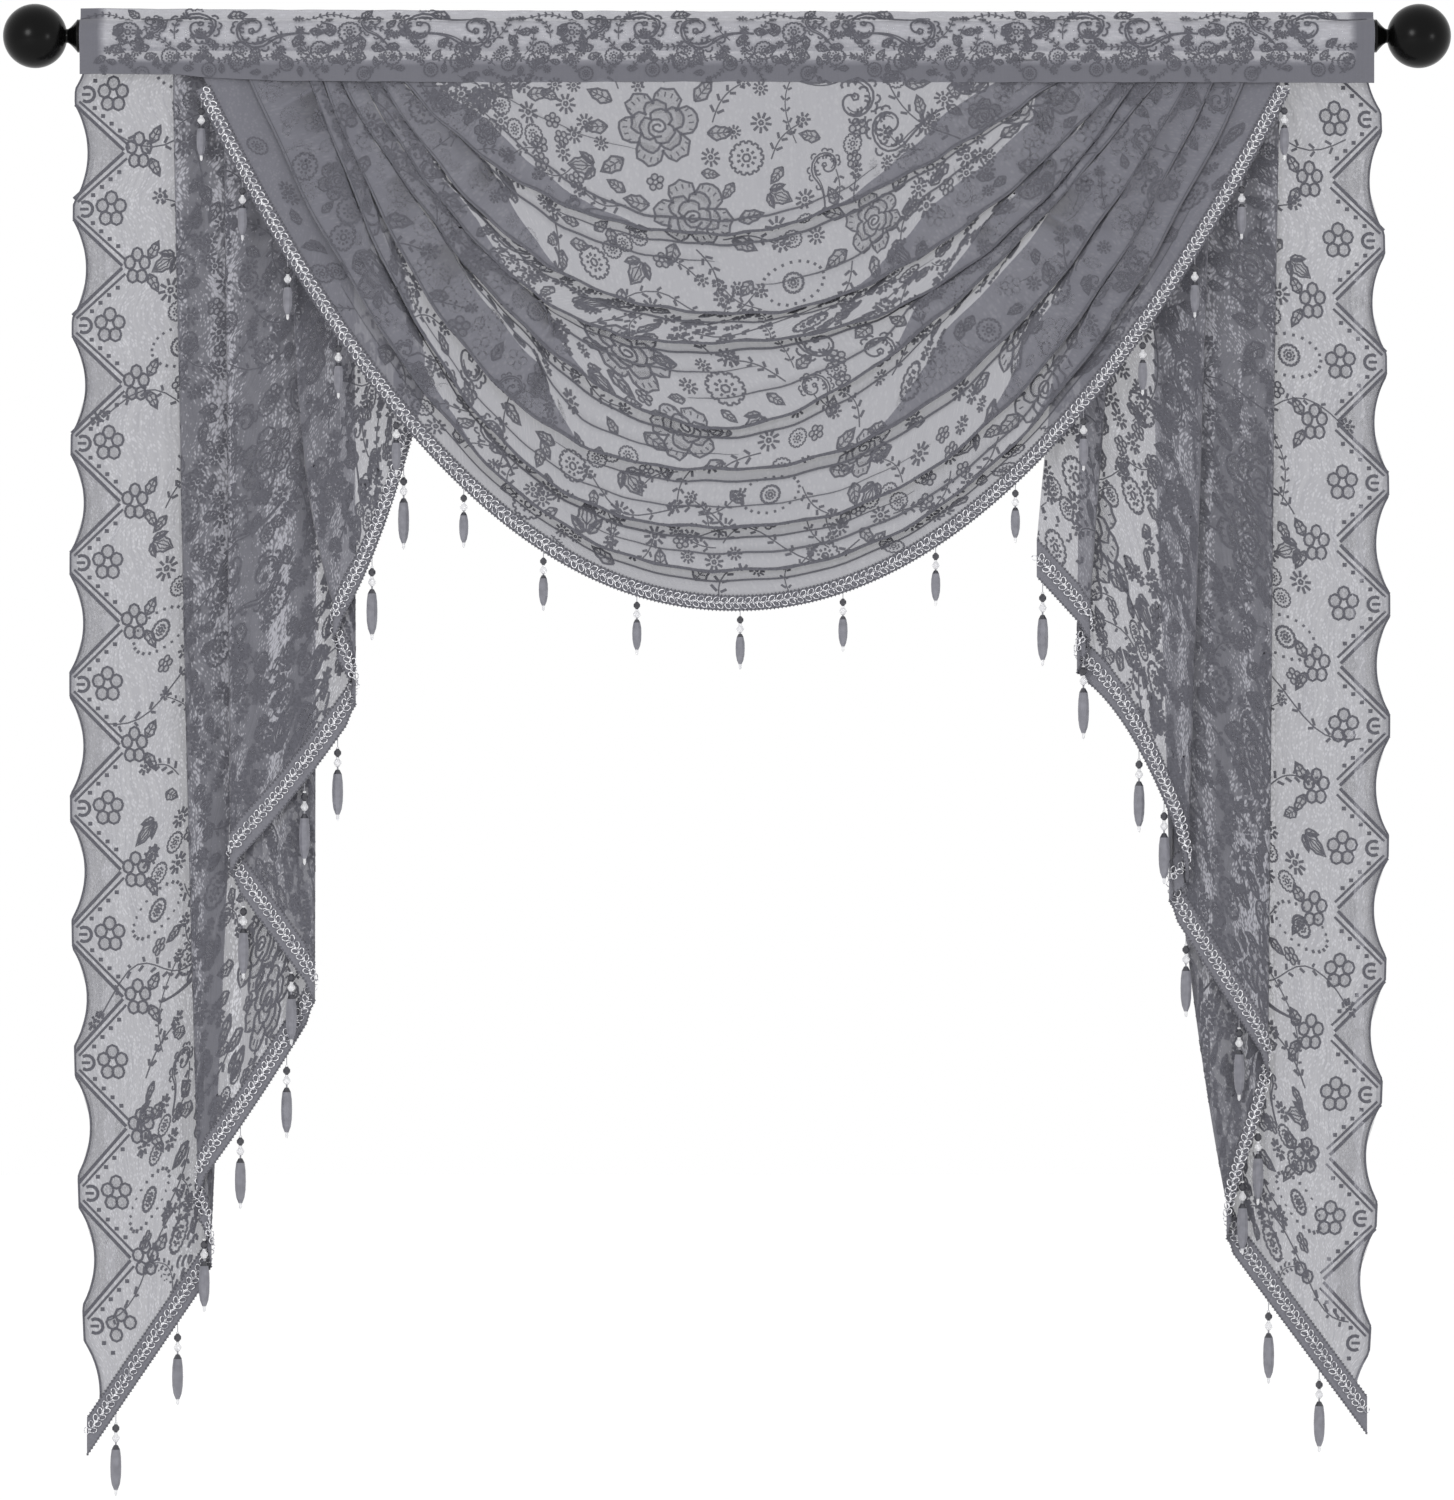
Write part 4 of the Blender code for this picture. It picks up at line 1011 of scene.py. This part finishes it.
swagFigures = FigureMesh()
drawRepeats(swagFigures, swagCloth, (-0.179, 0.1215), 5)
drawOverlaps(swagFigures, swagCloth, swagLipRows, 8)
# Dark lines of the outline yarn along the lips and creases: at a lip partly the lace seen edge on and partly
# painted shade, and along a crease painted shade.
for row, width in swagFoldLines:  # a pressed fold shows as a thin dark line, its lace seen edge on
    inked = width > 0.25
    foldLine = Stroke(None, width[inked], False)
    swagFigures.add(foldLine, swagCloth.points[row][inked], swagCloth.normals[row][inked])
swagLace = figurePiece("swag_lace_figures", swagFigures)
for cascade, cloth in zip(cascades, cascadeCloths):
    figures = FigureMesh()
    drawBorder(figures, cascade.folds, cascade.scallops)
    drawRepeats(figures, cloth, (0.262, 0.05), cascade.seed, 0.082)
    figurePiece(cascade.name + "_lace_figures", figures)
print("lace figures drawn:", len(laceFigures), "in each repeat")


# Header: one lace strip that goes up the back of the rod, over the heading and down the front

headerShape = {"half": 0.601, "rodRadius": 0.0160, "flangeY": -0.0090, "flangeHalf": 0.0008,
               "flangeTop": -0.0215, "columns": 150, "endHem": 0.0165, "ripple": 0.0005,
               "creaseShade": 0.6, "seamShade": 0.15, "endClear": 0.022, "axisRow": 10, "seamY": -22}
HeaderStation = namedtuple("HeaderStation", "x top bottom")
headerStations = [HeaderStation(*row) for row in (
    (-0.601, 0.0260, -0.0360), (-0.515, 0.0252, -0.0365), (-0.487, 0.0250, -0.0392),
    (-0.420, 0.0246, -0.0425), (-0.210, 0.0238, -0.0440), (0.000, 0.0230, -0.0432),
    (0.210, 0.0228, -0.0440), (0.420, 0.0225, -0.0438), (0.601, 0.0222, -0.0446),
)]


def makeHeaderCloth():
    shape = headerShape
    xs = np.linspace(-shape["half"], shape["half"], shape["columns"] + 1)
    stationX = [station.x for station in headerStations]
    top = np.interp(xs, stationX, [station.top for station in headerStations])
    bottom = np.interp(xs, stationX, [station.bottom for station in headerStations])
    turn = [math.radians(angle) for angle in range(100, 216, 8)]
    front = [(shape["rodRadius"] * math.cos(a), shape["rodRadius"] * math.sin(a)) for a in turn]
    ripple = shape["ripple"] * (np.sin(xs * 97) + np.sin(xs * 161 + 1.3))
    flange = [share * (bottom - shape["flangeTop"]) + shape["flangeTop"] for share in (1, 0.66, 0.33, 0)]
    rows = [(shape["flangeY"] + shape["flangeHalf"], z) for z in flange]
    rows += [(-y, z + 0 * xs) for y, z in reversed(front)]
    # Up the back of the heading: half its thickness, and the share of its height
    heading = [(0.0009, 0.35), (0.0008, 0.7), (0.0006, 0.94), (0.0, 1.0)]
    heading += [(-y, share) for y, share in reversed(heading[:-1])]
    rows += [(y, blend(front[0][1], top, share)) for y, share in heading]
    frontStart = len(rows)
    rows += [(y, z + 0 * xs) for y, z in front]
    rows += [(shape["flangeY"] - shape["flangeHalf"], z) for z in reversed(flange)]
    points = [np.stack([xs, y + ripple, z + 0.4 * ripple], axis=1) for y, z in rows]
    shades = np.zeros((len(rows), len(xs)))
    shades[:, np.abs(xs) > shape["half"] - shape["endHem"]] = 1.0
    shades[:3] = shades[-3:] = 1.0
    shades[3] = shades[-4] = np.maximum(shades[3], shape["seamShade"])
    shades[frontStart - 4] = shape["creaseShade"]
    return makeCloth(points, shades, 1, shape["columns"] // 2), frontStart


headerCloth, headerFront = makeHeaderCloth()
headerNet = knittedNet("polyester net knitted header", netLooks["header"])
headerPiece = clothPiece("header_net", headerCloth, headerNet, ["header"])

# One repeat of the header's lace, in millimetres of cloth above the rod's axis: scrolls over the rod, and
# a close row of small flowers along the seam
headerRepeat = 0.206
headerScrolls = [Figure(*row) for row in (
    (scroll, -78, 8, 30, 1.0), (scroll, -28, 6, 215, 0.96), (leaf, -52, 24, 10, 0.9),
    (sprig, -96, 8, 70, 0.8), (sprig, -4, 6, 120, 0.8), (vine, 42, 18, 8, 0.55), (zinnia, 62, 2, 0, 0.8),
    (scroll, 84, 14, 160, 0.62), (leaf, 72, 22, 40, 0.7), (daisy, 14, 20, 0, 0.7),
    (leaf, 48, 0, 160, 0.6),
)]
# Its rows of small figures: the kinds in turn, the first figure's place, how far and how fast the row
# sways, the turn from one figure to the next, their size, and the first figure that is drawn
SmallRow = namedtuple("SmallRow", "kinds x y sway pace turn size start")
headerRows = [SmallRow(*row) for row in (
    ((leaf, sprig, daisy, leaf, sprig, zinnia), -98, -12, 4, 2.1, 47, 0.66, 0),
    ((sprig, daisy, leaf, sprig, zinnia, leaf), -91, -23, 3, 2.9, 63, 0.62, 0),
    ((leaf, sprig, zinnia, leaf, sprig, daisy), -93, -32, 5, 1.7, 31, 0.5, 0),
    ((leaf, sprig), -95, 1, 5, 1.3, 71, 0.66, 9),
)]


def headerFigures(j):
    middle = j * headerRepeat * 1000
    figures = [figure._replace(x=middle + figure.x) for figure in headerScrolls]
    for k in range(17):
        for row in headerRows:
            if k >= row.start:
                figures.append(Figure(row.kinds[k % len(row.kinds)], middle + row.x + 12 * k,
                                      row.y + row.sway * math.sin(row.pace * k), row.turn * k, row.size))
    return figures


def drawHeader(mesh):
    axisRow = float(headerFront + headerShape["axisRow"])  # the row level with the rod's axis
    for j in range(-3, 4):
        for figure in headerFigures(j):
            x = figure.x / 1000
            if abs(x) > headerShape["half"] - headerShape["endClear"]:
                continue
            column = (x / headerShape["half"] + 1) / 2 * headerShape["columns"]
            strokes = posed(figure.kind(), 0, figure.y, figure.turn, figure.size, j % 2 == 1)
            drawOn(mesh, headerCloth, strokes, axisRow, column, figure.y > headerShape["seamY"])


headerMesh = FigureMesh()
drawHeader(headerMesh)
headerLace = figurePiece("header_lace_figures", headerMesh)


# Braid: a net tape with two rows of silver chain loops, a zigzag cord between them and picot edges

braid = {"pitch": 0.0074, "loopLong": 0.0034, "loopShort": 0.0023, "loopTurn": 38, "cord": 0.00055,
         "rowGap": 0.0052, "lift": 0.0012, "zigzag": 0.0013, "zigzagHigher": 1.5, "zigzagThicker": 1.1,
         "picotStep": 0.0036, "picot": 0.0013, "picotTuck": 0.0006}


# Places at even steps along a ribbon given by its upper and lower edges.
def ribbonFrames(upper, lower, step, share=0.5):
    middle = blend(upper, lower, share)
    lengths = runLengths(middle)
    wanted = np.arange(step / 2, lengths[-1], step)
    ahead = unit(sample(np.gradient(middle, axis=0), wanted, lengths))
    across = sample(lower - upper, wanted, lengths)
    across = unit(across - ahead * (across * ahead).sum(axis=1, keepdims=True))
    return sample(middle, wanted, lengths), ahead, across, np.cross(ahead, across)


def ringFaces(base, i, j, sides):  # the faces between two rings of a tube
    return [(base + i * sides + k, base + i * sides + (k + 1) % sides,
             base + j * sides + (k + 1) % sides, base + j * sides + k) for k in range(sides)]


def addTube(points, faces, path, radius, sides=4, closed=False):
    path, base = np.array(path), len(points)
    count = len(path)
    looped = np.roll(path, -1, axis=0) - np.roll(path, 1, axis=0)
    ahead = unit(looped if closed else np.gradient(path, axis=0))
    first = unit(np.cross(ahead, np.array([0.31, -0.9, 0.2])))
    second = np.cross(ahead, first)
    for place, a, b in zip(path, first, second):
        for k in range(sides):
            angle = 2 * math.pi * (k + 0.5) / sides
            points.append(place + radius * (math.cos(angle) * a + math.sin(angle) * b))
    for i in range(count if closed else count - 1):
        faces += ringFaces(base, i, (i + 1) % count, sides)
    if not closed:
        faces.append(tuple(base + k for k in range(sides)))
        faces.append(tuple(base + (count - 1) * sides + k for k in reversed(range(sides))))


def addPicot(points, faces, place, out, across, size):
    ahead = np.cross(across, out)
    base = len(points)
    points.extend([place + across * size * 1.3, place + ahead * size, place + out * size,
                   place - ahead * size, place - out * size, place - across * size])
    for a, b in ((1, 2), (2, 3), (3, 4), (4, 1)):
        faces += [(base, base + a, base + b), (base + 5, base + b, base + a)]


def braidPiece(name, upper, lower, middle):
    points, tape, silver, dark = [], [], [], []
    rows = [blend(upper, lower, share) for share in (0, 0.25, 0.5, 0.75, 1)]
    points.extend(np.array(rows).reshape(-1, 3))
    tape.extend(gridFaces(len(rows), len(upper)))
    places, ahead, across, out = ribbonFrames(upper, lower, braid["pitch"], middle)
    out = out * -np.sign(out[:, 1:2])  # the chains lie on the front
    for side, shift in ((-1, 0.0), (1, 0.5)):
        for place, a, c, o in zip(places, ahead, across, out):
            centre = place + a * shift * braid["pitch"] + side * c * braid["rowGap"] / 2 + o * braid["lift"]
            tilt = math.radians(braid["loopTurn"] * side)
            longWay = math.cos(tilt) * a + math.sin(tilt) * c
            shortWay = math.cos(tilt) * c - math.sin(tilt) * a
            longWay, shortWay = braid["loopLong"] * longWay, braid["loopShort"] * shortWay
            ring = [centre + math.cos(t) * longWay + math.sin(t) * shortWay
                    for t in np.linspace(0, 2 * math.pi, 9)[:-1]]
            addTube(points, silver, ring, braid["cord"], 4, True)
    zigzag = []
    for place, a, c, o in zip(places, ahead, across, out):
        high = place + o * braid["lift"] * braid["zigzagHigher"]
        zigzag += [high + c * braid["zigzag"], high + a * braid["pitch"] / 2 - c * braid["zigzag"]]
    addTube(points, silver, zigzag, braid["cord"] * braid["zigzagThicker"])
    for share, direction in ((0.0, -1), (1.0, 1)):
        places, _, across, out = ribbonFrames(upper, lower, braid["picotStep"], share)
        for place, c, o in zip(places, across * direction, out):
            addPicot(points, dark, place - c * braid["picotTuck"], o, c, braid["picot"])
    materials = [tapeNet, silverCord, picotYarn]
    return makePiece(name + "_braid", points, [tape, silver, dark], materials,
                     [name + "_beaded_trim"])


def mattThread(name, codes):
    return finish(name, codes, 600.0, 2.0, {"Roughness": 0.8}, relief=(0.5, 0.0006))


# Polyester tape, woven close: nearly opaque, the darkest of the greys, with a fine rib.
tapeNet = mattThread("polyester tape woven grey", ("#5C5C63", "#74747B"))
# Polyester picots, looped over a needle: small dark knots that give both edges a fine tooth.
picotYarn = mattThread("polyester picot looped", ("#4C4C53", "#66666D"))
# Silver gimp cord, metallised film wound on a core: its colour jumps between grey and near white in sharp
# patches along the twist, painted glints and painted shade.
silverCord = finish("silver gimp cord wound", ("#8C8C94", "#F4F4F7"), 520.0, 1.0,
                    {"Roughness": 0.35, "Metallic": 0.35}, sharp=(0.40, 0.60))


def swagTapeEdge(out):
    shares = np.linspace(-1, 1, 801)
    below = curvePlaces(swagEdge, shares)[:, 1] < swagShape["headerBottom"]
    shares = shares[below]
    places = curvePlaces(swagEdge, shares) - curveInward(swagEdge, shares) * out
    return swagPoints(places, 0) - [0, cascadeShape["tapeLift"], 0]


def cascadeTapeEdge(folds, height):
    edge = [columnPoint(column, column.tapeZ + height, 1, 0) for column in cascadeColumns(folds)]
    return np.array(edge) - [0, cascadeShape["tapeLift"], 0]


swagTapeLower = swagTapeEdge(swagShape["tapeGap"] + swagShape["tapeWidth"])
swagBraid = braidPiece("swag", swagTapeEdge(-swagShape["tapeTuck"]), swagTapeLower, 0.5)
for cascade in cascades:
    upper = cascadeTapeEdge(cascade.folds, cascadeShape["tapeDrop"] - cascadeShape["tapeGap"])
    braidPiece(cascade.name, upper, cascadeTapeEdge(cascade.folds, 0), 0.46)


# Bead drops: thread, dark bead, clear bead and a long smoked bead, as turned shapes. Each ring has its
# radius and its drop below the tape in millimetres, and the part that ends at it: thread 0, dark 1,
# clear 2, long 3.

DropRing = namedtuple("DropRing", "radius below part")
swagDropRings = [DropRing(*row) for row in (
    (0.4, -3, 0), (0.4, 5, 0), (1.2, 5.2, 1), (3.3, 7.5, 1), (3.3, 9.7, 1), (1.2, 12, 1), (1.6, 12.2, 2),
    (1.6, 13.8, 2), (2, 14, 2), (3.7, 16.2, 2), (3.7, 17.6, 2), (1.8, 20, 2), (0.8, 20.4, 0),
    (0.9, 21.4, 0), (1.8, 21.6, 1), (3.4, 24.5, 1), (4.4, 29.5, 3), (4.6, 35, 3), (4.3, 41, 3),
    (3.2, 46.2, 3), (1.6, 49.5, 3), (1.4, 50, 2), (1.4, 53, 2), (0.4, 54.5, 2),
)]
cascadeDropRings = [DropRing(*row) for row in (
    (0.4, -3, 0), (0.4, 8, 0), (1.6, 8.4, 2), (1.6, 9.8, 2), (1.4, 10, 1), (3.6, 12.5, 1), (3.6, 15, 1),
    (1.3, 17.5, 1), (1.7, 17.8, 2), (1.7, 19.4, 2), (2.1, 19.7, 2), (3.8, 22.2, 2), (3.8, 23.8, 2),
    (1.9, 26.4, 2), (0.8, 26.8, 0), (0.9, 29.2, 0), (2, 29.5, 1), (4.2, 33.5, 1), (5.2, 41, 3),
    (5.5, 50, 3), (5.2, 59, 3), (4.1, 66, 3), (2, 71.2, 3), (1.5, 71.8, 2), (1.5, 75.2, 2), (0.4, 77, 2),
)]
dropSides = 8


def dropPiece(name, places, rings):
    points, groups = [], [[], [], [], []]
    turns = [2 * math.pi * (k + 0.5) / dropSides for k in range(dropSides)]
    for place in places:
        base = len(points)
        for ring in rings:
            points += [place + np.array([ring.radius * math.cos(turn), ring.radius * math.sin(turn),
                                         -ring.below]) / 1000 for turn in turns]
        for i, ring in enumerate(rings[1:]):
            groups[ring.part] += [(a, d, c, b) for a, b, c, d in ringFaces(base, i, i + 1, dropSides)]
        last = base + (len(rings) - 1) * dropSides
        groups[0].append(tuple(base + k for k in range(dropSides)))
        groups[2].append(tuple(last + k for k in reversed(range(dropSides))))
    materials = [dropThread, darkBead, clearBead, smokedBead]
    return makePiece(name + "_bead_drops", points, groups, materials, smooth=False)


# Cast acrylic beads, tumbled to a polish: a hard glint, with slight colour changes from bead to bead.
def castAcrylic(name, codes, roughness, transmission, clear):
    return finish(name, codes, 160.0, 1.0, {"Roughness": roughness, "IOR": 1.49, "Alpha": clear,
                                            "Transmission Weight": transmission})


# Polyester beading thread, twisted: matt and paler than the beads it carries.
dropThread = mattThread("polyester beading thread", ("#6A6A70", "#A0A0A6"))
darkBead = castAcrylic("acrylic bead cast charcoal", ("#2C2C31", "#44444A"), 0.12, 0.0, 1.0)
clearBead = castAcrylic("acrylic bead cast clear", ("#C9C9CF", "#FFFFFF"), 0.06, 0.35, 0.92)
smokedBead = castAcrylic("acrylic long bead cast smoked", ("#63636A", "#85858D"), 0.14, 0.0, 0.92)


def swagDropPlaces():
    lengths = runLengths(swagTapeLower)
    share = np.arange(swagShape["drops"]) / (swagShape["drops"] - 1)
    run = lengths[-1] - 2 * swagShape["dropStart"]
    wanted = swagShape["dropStart"] + run * (share - swagShape["dropSlip"] * np.sin(2 * math.pi * share))
    return sample(swagTapeLower, wanted, lengths)


def cascadeDropPlaces(folds, drops):
    places = []
    for drop in drops:
        layer = len(folds) - 1 - drop.panel
        panel = [column for column in cascadeColumns(folds) if column.layer == layer]
        edge = np.array([columnPoint(column, column.tapeZ, 1, 0) for column in panel])
        edge = edge[np.argsort(edge[:, 0])]
        across = 1 - drop.across if panel[0].second.hemX < panel[0].first.hemX else drop.across
        places.append(sample(edge, [blend(edge[0, 0], edge[-1, 0], across)], edge[:, 0])[0])
    return np.array(places)


swagDrops = dropPiece("swag", swagDropPlaces(), swagDropRings)
cascadeDrops = [dropPiece(cascade.name, cascadeDropPlaces(cascade.folds, cascade.drops), cascadeDropRings)
                for cascade in cascades]
print("header, braid and drops made")


# Rod: it keeps its solid and gets its real finish

# Steel tube, powder-coated white: soft gloss with a faint orange peel. It shows only through the lace.
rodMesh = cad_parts["rod"].data
rodMesh.materials.clear()
rodMesh.materials.append(finish("steel tube powder-coated white", ("#DADADC",), 500.0, 2.0,
                                {"Roughness": 0.4}, relief=(0.08, 0.0003)))

# A finial turned in one piece: a ball, a narrow neck and a collar that flares out to the rod's end
finial = {"ball": 0.0298, "ballX": 0.6434, "neck": 0.0065, "collar": 0.0153, "rodEnd": 0.6017,
          "collarRim": 0.0022, "collarLength": 0.0112, "sides": 64, "steps": 36}


def finialProfile():  # x outwards along the rod, and radius, from the rod's end to the ball's tip
    start, ball, neck, rim = finial["rodEnd"], finial["ball"], finial["neck"], finial["collarRim"]
    collar = [(start, 0.0), (start, finial["collar"])]
    collar += [(start + rim + (finial["collarLength"] - rim) * share,
                neck + (finial["collar"] - neck) * (1 - share) ** 1.3) for share in np.linspace(0, 1, 9)]
    angles = np.linspace(math.pi - math.asin(neck / ball), 0, finial["steps"])
    return collar + [(finial["ballX"] + ball * math.cos(a), ball * math.sin(a)) for a in angles]


# Resin ball, sprayed and polished black lacquer: near black with two soft window-like glints.
def finialPiece(side, direction):
    profile, sides = finialProfile(), finial["sides"]
    turns = [2 * math.pi * k / sides for k in range(sides)]
    points = [(direction * x, radius * math.cos(turn), radius * math.sin(turn))
              for x, radius in profile for turn in turns]
    faces = [face[::-direction] for i in range(len(profile) - 1) for face in ringFaces(0, i, i + 1, sides)]
    lacquer = finish("black lacquer polished " + side, ("#050505",), 60.0, 3.0,
                     {"Specular IOR Level": 0.12}, gloss=(0.22, 0.26))
    name = "finial_" + side
    piece = makePiece(name + "_turned", points, [faces], [lacquer], [name])
    piece.data.set_sharp_from_angle(angle=math.radians(50))


finialPiece("left", -1)
finialPiece("right", 1)
print("rod and finials finished")


# Stage, light and camera

studio = {"floorZ": -1.52, "floorSize": 14.0, "cameraDistance": 6.0, "frameHeight": 1.395,
          "middleZ": -0.664, "sensor": 36.0, "lampTarget": (0, 0, -0.5), "floorGlow": 0.08}
Lamp = namedtuple("Lamp", "name place size power")
lamps = [Lamp("soft key light", (-2.6, -5.4, 0.7), 1.7, 100),
         Lamp("soft fill light", (4.6, -4.2, -0.6), 1.2, 34)]


def makeStage():
    floorMesh = bpy.data.meshes.new("floor")
    half = studio["floorSize"] / 2
    floorMesh.from_pydata([(-half, -half, 0), (half, -half, 0), (half, half, 0), (-half, half, 0)], [],
                          [(0, 1, 2, 3)])
    floor = bpy.data.objects.new("floor", floorMesh)
    floor.location.z = studio["floorZ"]
    # Plaster, rolled white: matt, and bright enough to run into the white behind it
    material, tree, shader = newMaterial("painted plaster floor, rolled white")
    setInputs(tree, shader, {"Base Color": hexColour("#F7F7F7"), "Roughness": 0.9,
                             "Emission Color": (1, 1, 1, 1), "Emission Strength": studio["floorGlow"]})
    floorMesh.materials.append(material)
    bpy.context.scene.collection.objects.link(floor)
    world = bpy.data.worlds.new("white studio")
    world.use_nodes = True
    tree = world.node_tree
    setInputs(tree, tree.nodes["Background"], {"Color": (1, 1, 1, 1), "Strength": 1.0})
    bpy.context.scene.world = world


def addLamp(lamp):
    light = bpy.data.lights.new(lamp.name, "AREA")
    light.energy = lamp.power
    light.shape = "DISK"
    light.size = lamp.size
    softbox = bpy.data.objects.new(lamp.name, light)
    softbox.location = lamp.place
    direction = Vector(studio["lampTarget"]) - softbox.location
    softbox.rotation_euler = direction.to_track_quat("-Z", "Y").to_euler()
    bpy.context.scene.collection.objects.link(softbox)


def makeCamera():
    data = bpy.data.cameras.new("front")
    data.sensor_width = studio["sensor"]
    data.lens = studio["sensor"] * studio["cameraDistance"] / studio["frameHeight"]
    camera = bpy.data.objects.new("front", data)
    camera.location = (0, -studio["cameraDistance"], studio["middleZ"])
    camera.rotation_euler = (math.radians(90), 0, 0)
    bpy.context.scene.collection.objects.link(camera)
    bpy.context.scene.camera = camera


makeStage()
for lamp in lamps:
    addLamp(lamp)
makeCamera()
bpy.context.scene.view_settings.view_transform = "Standard"
